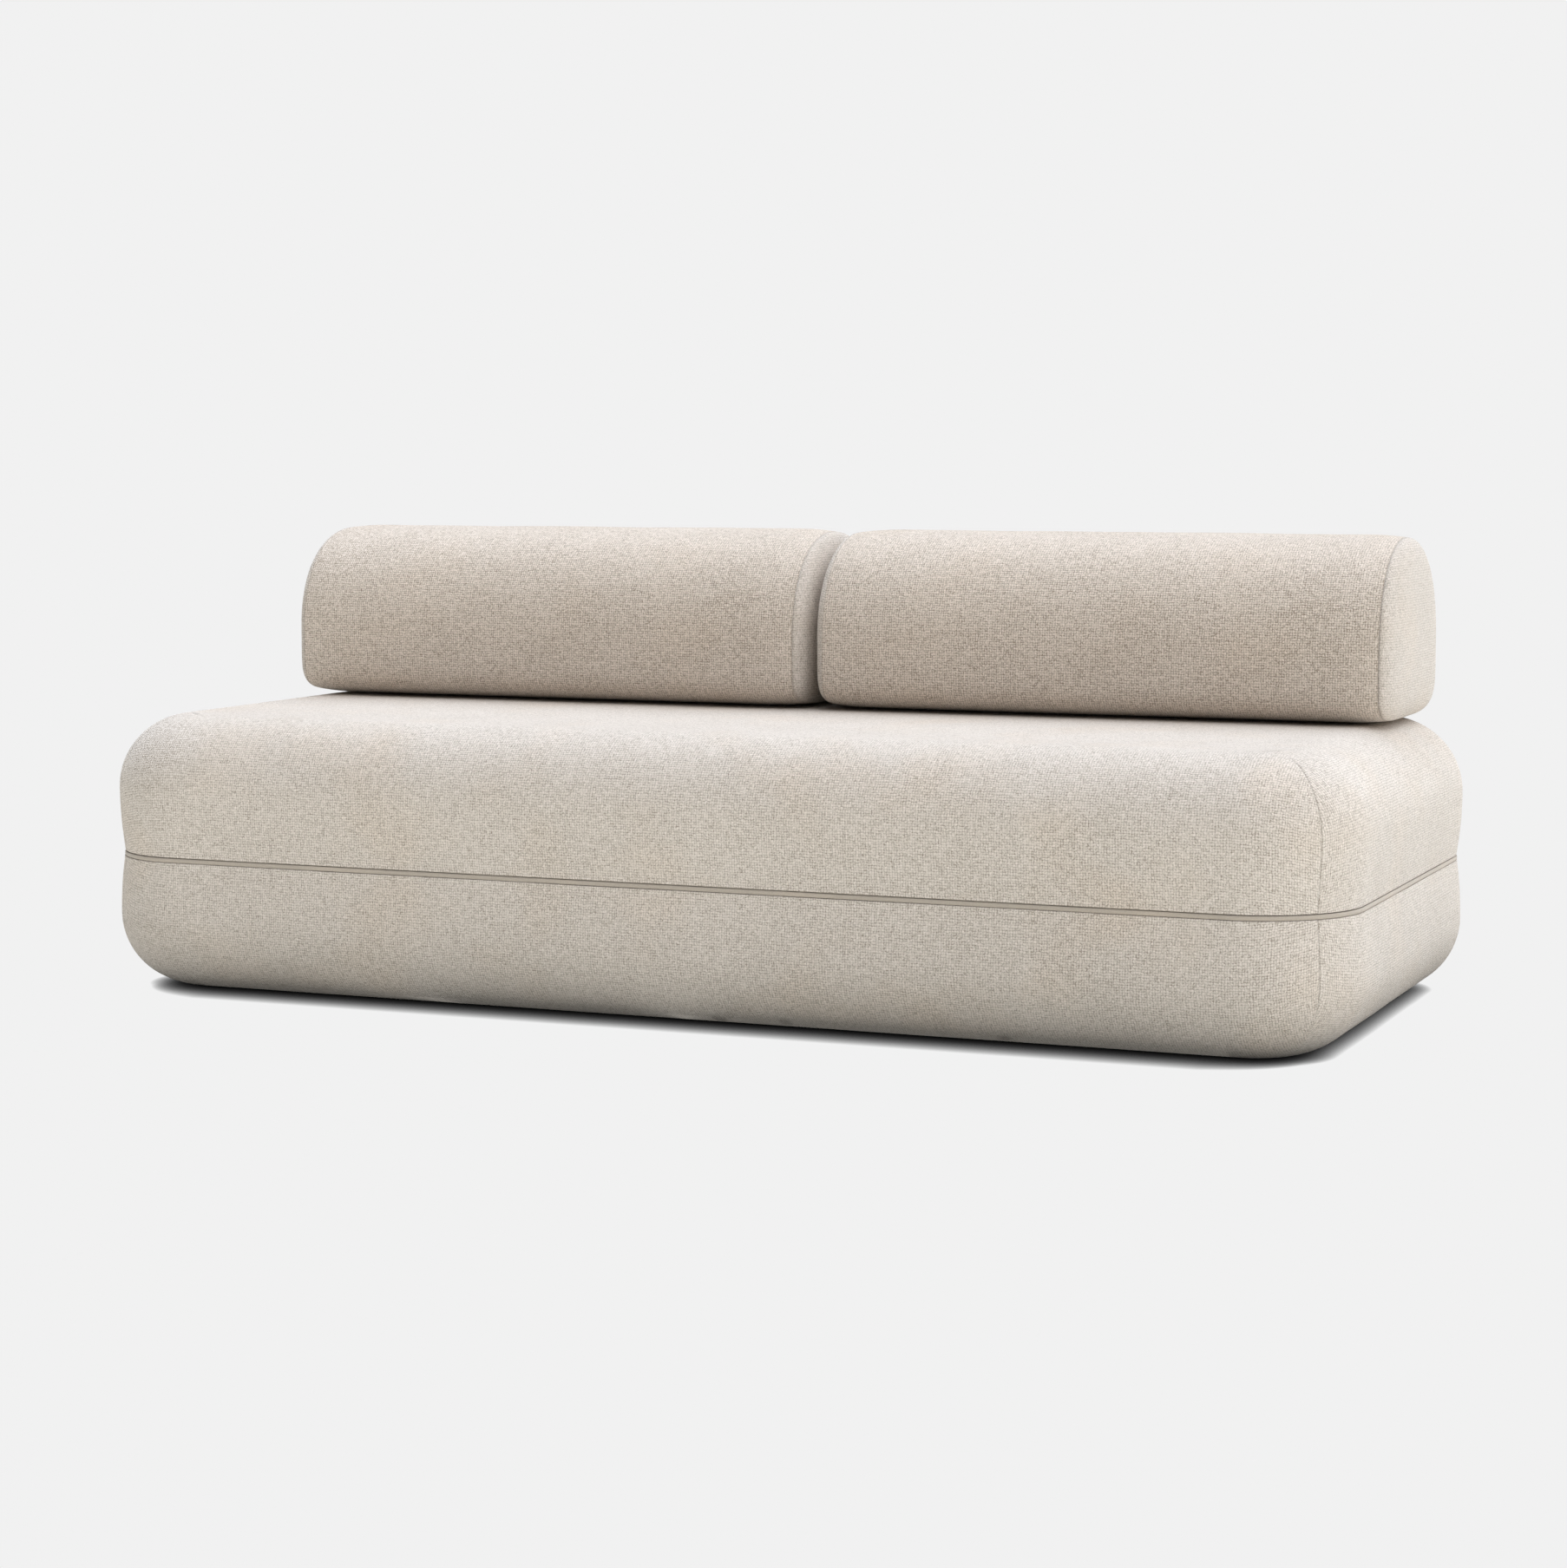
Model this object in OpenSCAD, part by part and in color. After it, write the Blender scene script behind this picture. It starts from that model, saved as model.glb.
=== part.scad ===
// A sofa bed of two equal foam blocks, stacked and joined along their front edge.
// The upper block is the seat: it swings forward onto the floor, and the two inner
// faces then make one bed. Two loose bolsters on the seat are the backrest.
// Width runs along X, the front faces -Y, and the floor is at Z zero.

/* [Blocks] */
// Width of the sofa from left to right
sofa_width = 2000; // [1800:10:2600]
// Depth of each block from front to back
block_depth = 950; // [880:10:1200]
// Height from the floor to the folding plane, and from there to the seat
block_height = 215; // [190:5:300]
// Radius of the corners seen from above
corner_radius = 165; // [135:5:220]
// Radius of the soft outer edge of a block
edge_radius = 115; // [80:5:125]
// How far the sides swell out past the folding edge
side_crown = 7; // [2:1:15]
// Radius of the crisp edge beside the folding plane
crisp_radius = 6; // [3:0.5:12]

/* [Layers] */
// Thickness of the woven cover
fabric = 1.5; // [1:0.1:2.5]
// Thickness of the fibre wadding
wadding = 15; // [8:1:25]
// Thickness of the soft foam under the sleeping face
comfort_foam = 40; // [20:5:60]
// Clearance between two layers of one cushion
layer_gap = 0.4; // [0.2:0.1:0.8]
// Clearance under a piece that rests or is sewn on another
rest_gap = 0.3; // [0.2:0.05:0.6]
// Diameter of the piping around the lower block
piping_diameter = 7; // [4:0.5:10]
// Thickness of the non slip cloth under the lower block
underside_cloth = 1; // [0.6:0.1:2]
// Distance from the soft edge to the rim of the non slip cloth
underside_margin = 12; // [5:1:25]

/* [Fold hinge] */
// Thickness of the textile hinge strip
strip_thickness = 0.8; // [0.5:0.05:1.5]
// Clear height inside the fold of the strip
strip_slot = 0.2; // [0.1:0.05:0.6]
// Width of each leaf of the strip between the blocks
strip_leaf = 70; // [40:5:120]
// Distance from the front of the blocks to the fold of the strip
strip_setback = 9; // [4:1:20]

/* [Bolsters] */
// Length of each bolster with its domed ends
bolster_length = 940; // [820:10:980]
// Depth of each bolster from front to back
bolster_depth = 367; // [280:1:400]
// Height of each bolster
bolster_height = 283; // [243:5:343]
// Height of the widest place above the base of a bolster
waist_height = 95; // [80:5:120]
// Height of the upright band at the widest place
waist_band = 28; // [25:1:40]
// Distance between the two bolsters
bolster_spacing = 4; // [1:0.5:20]
// Distance of the bolsters' centre line behind the middle of the seat
bolster_setback = 262; // [200:1:275]
// How far the end panels dome out
end_dome = 24; // [8:1:35]
// How far the cover draws in at the end seams
end_draw = 4; // [2:1:16]
// Length over which the cover draws in
draw_length = 70; // [30:5:90]
// Thickness of the wadding in a bolster
bolster_wadding = 12; // [6:1:20]
// Thickness of the non slip mat under each bolster
mat_thickness = 1.2; // [0.8:0.1:3]
// Width of the mat
mat_width = 78; // [50:1:82]
// Length of the mat
mat_length = 780; // [500:10:800]

/* [Zips] */
// Length of the zip in each block
block_zip = 1400; // [900:10:1450]
// Length of the zip in each bolster
bolster_zip = 700; // [400:10:740]
// Width of the zip tape
tape_width = 20; // [16:1:21]
// Thickness of the zip tape
tape_thickness = 0.8; // [0.5:0.1:1.2]
// Width of the closed teeth
teeth_width = 6; // [4:0.5:7]
// Thickness of the teeth
teeth_thickness = 1.4; // [1:0.1:2]
// Length of the slider
slider_length = 12; // [9:0.5:16]
// Wall of the slider
slider_wall = 1; // [0.8:0.1:1.4]
// Length of the pull tab
pull_length = 26; // [16:1:40]
// Width of the pull tab
pull_width = 4; // [3:0.5:5]
// Thickness of the pull tab
pull_thickness = 1; // [0.8:0.1:1.2]
// Radius of the pin that carries the pull tab
pin_radius = 0.6; // [0.5:0.05:0.8]

/* [Hidden] */
// Surface detail of the covers and of the hidden layers: steps per corner, edge and side
fine_steps = [8, 8, 3];
plain_steps = [4, 4, 1];
crisp_steps = 3;
piping_steps = 10;
section_steps = 16;
overrun = 1;
slide_gap = 0.2;
pin_gap = 0.05;
eye_wall = 0.5;
lug_width = 1.2;
lug_gap = 0.2;
stop_length = 3;
stop_extra = 0.4;
base_cut = 1;

// How round the bolster's section is above and below its waist
upper_round = 2.2;
lower_round = 4.6;
// Along the draw length, then across it, from the end seam to the full section
draw_shares = [[0, 1], [0.07, 0.45], [0.3, 0.12], [1, 0]];
plain_draw_shares = [[0, 1], [1, 0]];
// Size of the end panel's rings, then their rise, from the seam to near the middle
dome_shares = [[1, 0], [0.94, 0.5], [0.78, 0.84], [0.42, 0.98]];
plain_dome_shares = [[1, 0], [0.78, 0.84]];

floor_clear = underside_cloth + rest_gap;
fold_gap = 2 * (strip_thickness + rest_gap) + strip_slot;
body_height = block_height - fold_gap / 2 - floor_clear;
swell_height = body_height - edge_radius - crisp_radius;
piping_room = piping_diameter + rest_gap;
plain_side = body_height - crisp_radius;
piped_side = body_height - piping_room;
plain_opening = side_crown + crisp_radius;
piped_opening = side_crown + piping_room + fabric;
wadding_out = fabric + layer_gap;
wadding_in = wadding_out + wadding;
foam_inset = wadding_in + layer_gap;
comfort_top = body_height - fabric - layer_gap;
comfort_base = comfort_top - comfort_foam;

seat_top = 2 * block_height - floor_clear;
bolster_base = seat_top + rest_gap + mat_thickness + rest_gap;
seam_length = bolster_length - 2 * end_dome;
bolster_offset = (bolster_length + bolster_spacing) / 2;
upper_rise = bolster_height - waist_height - waist_band / 2;
lower_rise = waist_height - waist_band / 2 + base_cut;

tape_out = rest_gap;
teeth_out = tape_out + tape_thickness;
channel_out = teeth_out + teeth_thickness + slide_gap;
slider_out = channel_out + slider_wall;
slider_width = teeth_width + 2 * slide_gap + 2 * slider_wall;
lug_root = channel_out + slider_wall / 2;
lug_middle = pull_width / 2 + lug_gap + lug_width / 2;
eye_radius = pin_radius + pin_gap + eye_wall;
pull_clear = slide_gap + pull_width / 2 * tan(band_lean(plain_side));
pin_out = slider_out + eye_radius + pull_clear;

// The middle of a ring of points
function centre(ring) = ([for (point = ring) 1] * ring) / len(ring);

// A number's power with its sign kept
function signed_pow(value, power) = sign(value) * pow(abs(value), power);

// A skin through a list of rings. It has a cap at each end, or runs back to its first ring.
module loft(rings, looped = false) {
    size = len(rings[0]);
    count = len(rings);
    bands = looped ? count : count - 1;
    points = [for (ring = rings) each ring];
    ends = looped ? [] : [centre(rings[0]), centre(rings[count - 1])];
    first = size * count;
    sides = [for (i = [0:bands - 1]) for (j = [0:size - 1])
        let (a = i * size, b = ((i + 1) % count) * size, k = (j + 1) % size)
        each [[a + j, b + j, b + k], [a + j, b + k, a + k]]];
    caps = looped ? [] : [for (j = [0:size - 1])
        let (k = (j + 1) % size, top = (count - 1) * size)
        each [[first, j, k], [first + 1, top + k, top + j]]];
    polyhedron(points = concat(points, ends), faces = concat(sides, caps), convexity = 6);
}

// A block's outline at one height, drawn in by an inset, as a rounded rectangle
function block_ring(inset, height, steps) = [for (q = [0:3]) for (j = [0:steps])
    let (a = 90 * (q + j / steps), right = (q == 0 || q == 3) ? 1 : -1, back = q < 2 ? 1 : -1)
    [right * (sofa_width / 2 - corner_radius) + (corner_radius - inset) * cos(a),
     back * (block_depth / 2 - corner_radius) + (corner_radius - inset) * sin(a), height]];

function block_rings(rows, steps) = [for (row = rows) block_ring(row[0], row[1], steps)];

// The profile of a block's side as [inset, height] pairs, at a depth below its surface
function swell(height) = side_crown * pow((height - edge_radius) / swell_height, 2);

function soft_edge(depth, steps) = [for (i = [0:steps])
    let (a = 90 * i / steps, r = edge_radius - depth)
    [edge_radius - r * sin(a), edge_radius - r * cos(a)]];

function swollen_side(depth, top, steps) = [for (i = [1:steps])
    let (height = edge_radius + (top - edge_radius) * i / steps)
    [depth + swell(height), height]];

function crisp_edge(depth) = [for (i = [1:crisp_steps])
    let (a = 90 * i / crisp_steps, r = crisp_radius - depth)
    [side_crown + crisp_radius - r * cos(a), body_height - crisp_radius + r * sin(a)]];

// The step that the piping lies in
function rebate(depth, top) = let (wall = side_crown + piping_room + depth)
    [[wall, piped_side - depth], [wall, top]];

function plain_profile(depth, steps) = concat(soft_edge(depth, steps[1]),
    swollen_side(depth, plain_side, steps[2]), crisp_edge(depth));

function piped_profile(depth, steps, top = body_height) = concat(soft_edge(depth, steps[1]),
    swollen_side(depth, piped_side - depth, steps[2]), rebate(depth, top));

function reversed(list) = [for (i = [len(list) - 1:-1:0]) list[i]];

// The seat block is the base block turned over
module seat_side() translate([0, 0, 2 * block_height]) mirror([0, 0, 1]) base_side() children();
module base_side() translate([0, 0, floor_clear]) children();

// A cup of cover cloth, open at the folding plane
module plain_cover() {
    rows = concat(plain_profile(0, fine_steps), reversed(plain_profile(fabric, fine_steps)));
    loft(block_rings(rows, fine_steps[0]));
}

module piped_cover() {
    rows = concat(piped_profile(0, fine_steps), reversed(piped_profile(fabric, fine_steps)));
    loft(block_rings(rows, fine_steps[0]));
}

module sleep_panel(opening) translate([0, 0, body_height - fabric]) linear_extrude(fabric)
    polygon([for (p = block_ring(opening + rest_gap, 0, fine_steps[0])) [p[0], p[1]]]);

module block_wadding() {
    inner = concat(soft_edge(wadding_in, plain_steps[1]),
        [[side_crown + wadding_in, comfort_top]]);
    rows = concat(piped_profile(wadding_out, plain_steps, comfort_top), reversed(inner));
    loft(block_rings(rows, plain_steps[0]));
}

module support_foam() {
    top = comfort_base - layer_gap;
    lean = side_crown * (top - edge_radius) / (comfort_top - edge_radius);
    rows = concat(soft_edge(foam_inset, plain_steps[1]), [[foam_inset + lean, top]]);
    loft(block_rings(rows, plain_steps[0]));
}

module comfort_slab() translate([0, 0, comfort_base]) linear_extrude(comfort_foam)
    polygon([for (p = block_ring(foam_inset + side_crown, 0, plain_steps[0])) [p[0], p[1]]]);

// A tube of cover cloth around the edge of the lower block
module base_piping() color("#c9bda6") base_side() {
    radius = piping_diameter / 2;
    rows = [for (i = [0:piping_steps - 1]) let (a = 360 * i / piping_steps)
        [side_crown + radius - radius * cos(a), body_height - radius + radius * sin(a)]];
    loft(block_rings(rows, fine_steps[0]), looped = true);
}

module base_underside_cloth() color("#4a4845") linear_extrude(underside_cloth)
    polygon([for (p = block_ring(edge_radius + underside_margin, 0, fine_steps[0])) [p[0], p[1]]]);

// A strip folded along the front, with one leaf sewn to each block
module fold_hinge_strip() color("#b8ab93") {
    outer = strip_thickness + strip_slot / 2;
    inner = strip_slot / 2;
    fold = strip_setback + outer - block_depth / 2;
    translate([0, fold, block_height]) rotate([90, 0, 90])
        linear_extrude(sofa_width - 2 * corner_radius, center = true) difference() {
            union() {
                circle(r = outer, $fn = 32);
                translate([0, -outer]) square([strip_leaf, 2 * outer]);
            }
            circle(r = inner, $fn = 32);
            translate([0, -inner]) square([strip_leaf + overrun, 2 * inner]);
        }
}

module base_cover() color("#c6bba6") base_side() piped_cover();
module base_sleep_panel() color("#c2b7a2") base_side() sleep_panel(piped_opening);
module base_wadding() color("#f2efe8") base_side() block_wadding();
module base_support_foam() color("#e8dcae") base_side() support_foam();
module base_comfort_foam() color("#f1ebd2") base_side() comfort_slab();
module seat_cover() color("#cdc3b0") seat_side() plain_cover();
module seat_sleep_panel() color("#c2b7a2") seat_side() sleep_panel(plain_opening);
module seat_wadding() color("#f2efe8") seat_side() block_wadding();
module seat_support_foam() color("#e8dcae") seat_side() support_foam();
module seat_comfort_foam() color("#f1ebd2") seat_side() comfort_slab();

// Zips lie on a back face and run along X. Their own frame has Y pointing out of the face.
module zip_tape(length) color("#b5a88f") translate([0, tape_out + tape_thickness / 2, 0])
    cube([length, tape_thickness, tape_width], center = true);

module zip_teeth(length) color("#8f8672") translate([0, teeth_out, 0]) {
    translate([-length / 2, 0, -teeth_width / 2]) cube([length, teeth_thickness, teeth_width]);
    for (side = [-1, 1])
        translate([side * (length - stop_length) / 2 - stop_length / 2, 0, -slider_width / 2])
            cube([stop_length, teeth_thickness + stop_extra, slider_width]);
}

// Where the closed slider stands, from the middle of its zip
function slider_place(length) = (slider_length - length) / 2 + stop_length + slide_gap;

module slider_body(length) translate([slider_place(length), 0, 0]) difference() {
    translate([-slider_length / 2, teeth_out + slide_gap, -slider_width / 2])
        cube([slider_length, slider_out - teeth_out - slide_gap, slider_width]);
    translate([-slider_length / 2 - overrun, 0, -teeth_width / 2 - slide_gap])
        cube([slider_length + 2 * overrun, channel_out, teeth_width + 2 * slide_gap]);
}

// Two lugs with a pin between them, upright whatever the lean of the slider
module slider_lugs(length) translate([slider_place(length), 0, 0]) {
    for (side = [-1, 1])
        translate([-eye_radius, lug_root, side * lug_middle - lug_width / 2])
            cube([2 * eye_radius, pin_out - lug_root + eye_radius, lug_width]);
    translate([0, pin_out, 0])
        cylinder(r = pin_radius, h = 2 * lug_middle, center = true, $fn = 32);
}

module zip_pull(length) color("#8c8577") translate([slider_place(length), pin_out, 0])
    difference() {
        union() {
            cylinder(r = eye_radius, h = pull_width, center = true, $fn = 32);
            translate([0, -pull_thickness / 2, -pull_width / 2])
                cube([pull_length, pull_thickness, pull_width]);
        }
        cylinder(r = pin_radius + pin_gap, h = pull_width + 2 * overrun, center = true, $fn = 32);
    }

// The flat band of a block's side nearest to the folding plane
function band_low(top) = edge_radius + (top - edge_radius) * (fine_steps[2] - 1) / fine_steps[2];
function band_lean(top) = atan2(swell(top) - swell(band_low(top)), top - band_low(top));

module on_block_back(top) translate([0, block_depth / 2 - (swell(top) + swell(band_low(top))) / 2,
    (top + band_low(top)) / 2]) children();

module on_block_band(top) on_block_back(top) rotate([band_lean(top), 0, 0]) children();

module base_zip_tape() base_side() on_block_band(piped_side) zip_tape(block_zip);
module base_zip_teeth() base_side() on_block_band(piped_side) zip_teeth(block_zip);
module base_zip_pull() base_side() on_block_back(piped_side) zip_pull(block_zip);
module base_zip_slider() color("#9a927f") base_side() {
    on_block_band(piped_side) slider_body(block_zip);
    on_block_back(piped_side) slider_lugs(block_zip);
}

module seat_zip_tape() seat_side() on_block_band(plain_side) zip_tape(block_zip);
module seat_zip_teeth() seat_side() on_block_band(plain_side) zip_teeth(block_zip);
module seat_zip_pull() seat_side() on_block_back(plain_side) zip_pull(block_zip);
module seat_zip_slider() color("#9a927f") seat_side() {
    on_block_band(plain_side) slider_body(block_zip);
    on_block_back(plain_side) slider_lugs(block_zip);
}

// A bolster's section seen from its right end, drawn in by an inset, at one place along X
function half_section(inset, place, first, roundness, middle, rise) = [for (i = [0:section_steps])
    let (a = first + 180 * i / section_steps)
    [place, (bolster_depth / 2 - inset) * signed_pow(cos(a), 2 / roundness),
     max(0, middle + (rise - inset) * signed_pow(sin(a), 2 / roundness))]];

function section(inset, place) = concat(
    half_section(inset, place, 0, upper_round, waist_height + waist_band / 2, upper_rise),
    half_section(inset, place, 180, lower_round, waist_height - waist_band / 2, lower_rise));

// Rings from the left end seam to the right one
function side_rings(depth, shares) = let (half = seam_length / 2) concat(
    [for (s = shares) section(depth + end_draw * s[1], s[0] * draw_length - half)],
    [for (s = reversed(shares)) section(depth + end_draw * s[1], half - s[0] * draw_length)]);

// Rings from the right end seam out over the dome
function dome_rings(depth, shares, clear = 0) = let (
    seam = section(depth + end_draw, seam_length / 2 + clear), middle = centre(seam))
    [for (s = shares) [for (p = seam) middle + s[0] * (p - middle)
        + [s[1] * (end_dome - depth - clear), 0, 0]]];

// The same rings at the left end, with their points in the same order
function at_left(rings) = [for (ring = reversed(rings)) [for (p = ring) [-p[0], p[1], p[2]]]];

module on_seat(side) translate([side * bolster_offset, bolster_setback, bolster_base]) children();

module bolster_cover() loft(concat(side_rings(0, draw_shares),
    reversed(side_rings(fabric, draw_shares))), looped = true);

module bolster_end(side) mirror([side < 0 ? 1 : 0, 0, 0]) loft(concat(
    reversed(dome_rings(fabric, plain_dome_shares, rest_gap)),
    dome_rings(0, dome_shares, rest_gap)));

module bolster_wrap() {
    outer = side_rings(wadding_out, plain_draw_shares);
    inner = side_rings(wadding_out + bolster_wadding, plain_draw_shares);
    loft(concat(outer, reversed(inner)), looped = true);
}

module bolster_core() {
    depth = wadding_out + bolster_wadding + layer_gap;
    dome = [for (s = plain_dome_shares) if (s[1] > 0) s];
    ends = dome_rings(depth, dome);
    sides = side_rings(depth, plain_draw_shares);
    loft(concat(at_left(ends), sides, ends));
}

module bolster_mat(side) translate([side * bolster_offset, bolster_setback,
    seat_top + rest_gap + mat_thickness / 2])
    cube([mat_length, mat_width, mat_thickness], center = true);

module on_bolster_back(side) on_seat(side)
    translate([0, bolster_depth / 2, waist_height]) children();

module left_bolster_cover() color("#bfb29b") on_seat(-1) bolster_cover();
module left_bolster_outer_end() color("#cfc5b3") on_seat(-1) bolster_end(-1);
module left_bolster_inner_end() color("#cfc5b3") on_seat(-1) bolster_end(1);
module left_bolster_wadding() color("#f2efe8") on_seat(-1) bolster_wrap();
module left_bolster_core() color("#f1ebd2") on_seat(-1) bolster_core();
module left_bolster_zip_tape() on_bolster_back(-1) zip_tape(bolster_zip);
module left_bolster_zip_teeth() on_bolster_back(-1) zip_teeth(bolster_zip);
module left_bolster_zip_pull() on_bolster_back(-1) zip_pull(bolster_zip);
module left_bolster_zip_slider() color("#9a927f") on_bolster_back(-1) {
    slider_body(bolster_zip);
    slider_lugs(bolster_zip);
}
module left_bolster_mat() color("#8d8a84") bolster_mat(-1);

module right_bolster_cover() color("#bfb29b") on_seat(1) bolster_cover();
module right_bolster_outer_end() color("#cfc5b3") on_seat(1) bolster_end(1);
module right_bolster_inner_end() color("#cfc5b3") on_seat(1) bolster_end(-1);
module right_bolster_wadding() color("#f2efe8") on_seat(1) bolster_wrap();
module right_bolster_core() color("#f1ebd2") on_seat(1) bolster_core();
module right_bolster_zip_tape() on_bolster_back(1) zip_tape(bolster_zip);
module right_bolster_zip_teeth() on_bolster_back(1) zip_teeth(bolster_zip);
module right_bolster_zip_pull() on_bolster_back(1) zip_pull(bolster_zip);
module right_bolster_zip_slider() color("#9a927f") on_bolster_back(1) {
    slider_body(bolster_zip);
    slider_lugs(bolster_zip);
}
module right_bolster_mat() color("#8d8a84") bolster_mat(1);

base_cover();
base_sleep_panel();
base_piping();
base_wadding();
base_support_foam();
base_comfort_foam();
base_underside_cloth();
base_zip_tape();
base_zip_teeth();
base_zip_slider();
base_zip_pull();
seat_cover();
seat_sleep_panel();
seat_wadding();
seat_support_foam();
seat_comfort_foam();
seat_zip_tape();
seat_zip_teeth();
seat_zip_slider();
seat_zip_pull();
fold_hinge_strip();
left_bolster_cover();
left_bolster_outer_end();
left_bolster_inner_end();
left_bolster_wadding();
left_bolster_core();
left_bolster_zip_tape();
left_bolster_zip_teeth();
left_bolster_zip_slider();
left_bolster_zip_pull();
left_bolster_mat();
right_bolster_cover();
right_bolster_outer_end();
right_bolster_inner_end();
right_bolster_wadding();
right_bolster_core();
right_bolster_zip_tape();
right_bolster_zip_teeth();
right_bolster_zip_slider();
right_bolster_zip_pull();
right_bolster_mat();
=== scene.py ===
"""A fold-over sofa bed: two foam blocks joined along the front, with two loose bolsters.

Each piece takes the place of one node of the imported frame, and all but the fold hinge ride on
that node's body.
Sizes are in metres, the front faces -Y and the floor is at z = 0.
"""

from __future__ import annotations

import logging
import math
from dataclasses import dataclass, field
from enum import Enum
from functools import partial, reduce

import bmesh
import bpy
import numpy as np
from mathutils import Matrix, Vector, noise

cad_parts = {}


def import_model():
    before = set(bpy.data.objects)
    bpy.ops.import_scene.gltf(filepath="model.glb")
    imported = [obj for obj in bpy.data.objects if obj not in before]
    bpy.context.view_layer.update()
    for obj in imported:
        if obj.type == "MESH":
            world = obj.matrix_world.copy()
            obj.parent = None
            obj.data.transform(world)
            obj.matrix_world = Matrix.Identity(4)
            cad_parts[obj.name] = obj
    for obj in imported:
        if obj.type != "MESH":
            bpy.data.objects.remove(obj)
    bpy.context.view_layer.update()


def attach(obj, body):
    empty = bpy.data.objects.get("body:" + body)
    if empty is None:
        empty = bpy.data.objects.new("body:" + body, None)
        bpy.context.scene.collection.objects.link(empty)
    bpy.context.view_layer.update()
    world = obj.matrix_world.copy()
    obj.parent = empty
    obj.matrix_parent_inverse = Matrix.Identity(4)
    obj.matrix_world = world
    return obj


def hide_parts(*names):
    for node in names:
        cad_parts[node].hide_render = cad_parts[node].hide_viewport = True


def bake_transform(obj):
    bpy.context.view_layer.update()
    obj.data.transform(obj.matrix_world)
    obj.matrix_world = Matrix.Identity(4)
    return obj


LOG = logging.getLogger("sofa_bed")
CLOTH_MAP = "cloth"
PAINTED_SEAM_SHADE_MARK = "seam"
WELD = 2e-6
FINE_WELD = 1e-6
TINY = 1e-9

Rgb = tuple[float, float, float]
Triple = tuple[float, float, float]
Array = np.ndarray


def linear(red: int, green: int, blue: int) -> Rgb:
    """Turn an eight bit display colour into linear light.

    Args:
        red: Red from 0 to 255.
        green: Green from 0 to 255.
        blue: Blue from 0 to 255.

    Returns:
        The three linear values.
    """
    shares = [value / 255 for value in (red, green, blue)]
    return tuple(s / 12.92 if s <= 0.04045 else ((s + 0.055) / 1.055) ** 2.4 for s in shares)


def gentle(points: Array, wavelength: float, seed: float) -> Array:
    """Sample smooth noise at points.

    Args:
        points: Points in metres, as rows of three.
        wavelength: Size of one undulation in metres.
        seed: Offset that gives each surface its own noise.

    Returns:
        One value per point, from about -1 to 1.
    """
    shift = Vector((seed * 7.31, seed * 3.17, seed * 5.71))
    flat = points.reshape(-1, 3) / wavelength
    values = [noise.noise(Vector(p) + shift) for p in flat.tolist()]
    return np.array(values).reshape(points.shape[:-1])


def darker(colour: Rgb, share: float) -> Rgb:
    """Scale a colour, below 1 to darken it."""
    return tuple(share * value for value in colour)


def ease(value: Array | float) -> Array | float:
    """Ease a share from 0 to 1 at both of its ends."""
    share = np.clip(value, 0, 1)
    return share * share * (3 - 2 * share)


def undulating(points: Array, lengths: tuple[float, float], seeds: tuple[float, float]) -> Array:
    """Add smooth noise of two wavelengths, the second one half as strong."""
    return gentle(points, lengths[0], seeds[0]) + 0.5 * gentle(points, lengths[1], seeds[1])


def bell(distance: Array, half: float) -> Array:
    """Fade softly from 1 at no distance to almost nothing at twice the half width."""
    return np.exp(-(distance / half) ** 2)


def signed_power(value: Array, power: Array | float) -> Array:
    """Raise values to a power and keep their signs."""
    return np.sign(value) * np.abs(value) ** power


def with_rows(flat: Array, values: Array) -> Array:
    """Give all the points of a row the same further value."""
    return np.concatenate([flat, np.broadcast_to(values[:, None, None], (*flat.shape[:2], 1))], -1)


def run_along(path: Array) -> Array:
    """Measure the distance along a path at each of its points."""
    steps = np.linalg.norm(np.diff(path, axis=0), axis=1)
    return np.concatenate([[0.0], np.cumsum(steps)])


@dataclass(frozen=True)
class ZipBed:
    """Where cloth lies flat and a little sunk under a zip, in metres."""

    sunk: float = 0.0004
    beyond: float = 0.03
    end_fade: float = 0.02
    above: float = 0.022
    edge_fade: float = 0.008
    behind: float = 0.02

    def calm(self, press: Array, place: Array, length: float) -> Array:
        """Keep cloth flat where a zip lies on it.

        Args:
            press: Movement of each point outward.
            place: Each point seen from the middle of the zip, which faces along Y.
            length: Length of the zip.

        Returns:
            The calmed movement.
        """
        along = ease((length / 2 + self.beyond - np.abs(place[..., 0])) / self.end_fade)
        up = ease((self.above - np.abs(place[..., 2])) / self.edge_fade)
        share = along * up * (place[..., 1] > -self.behind)
        return press * (1 - share) - self.sunk * share


# Meshes


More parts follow.
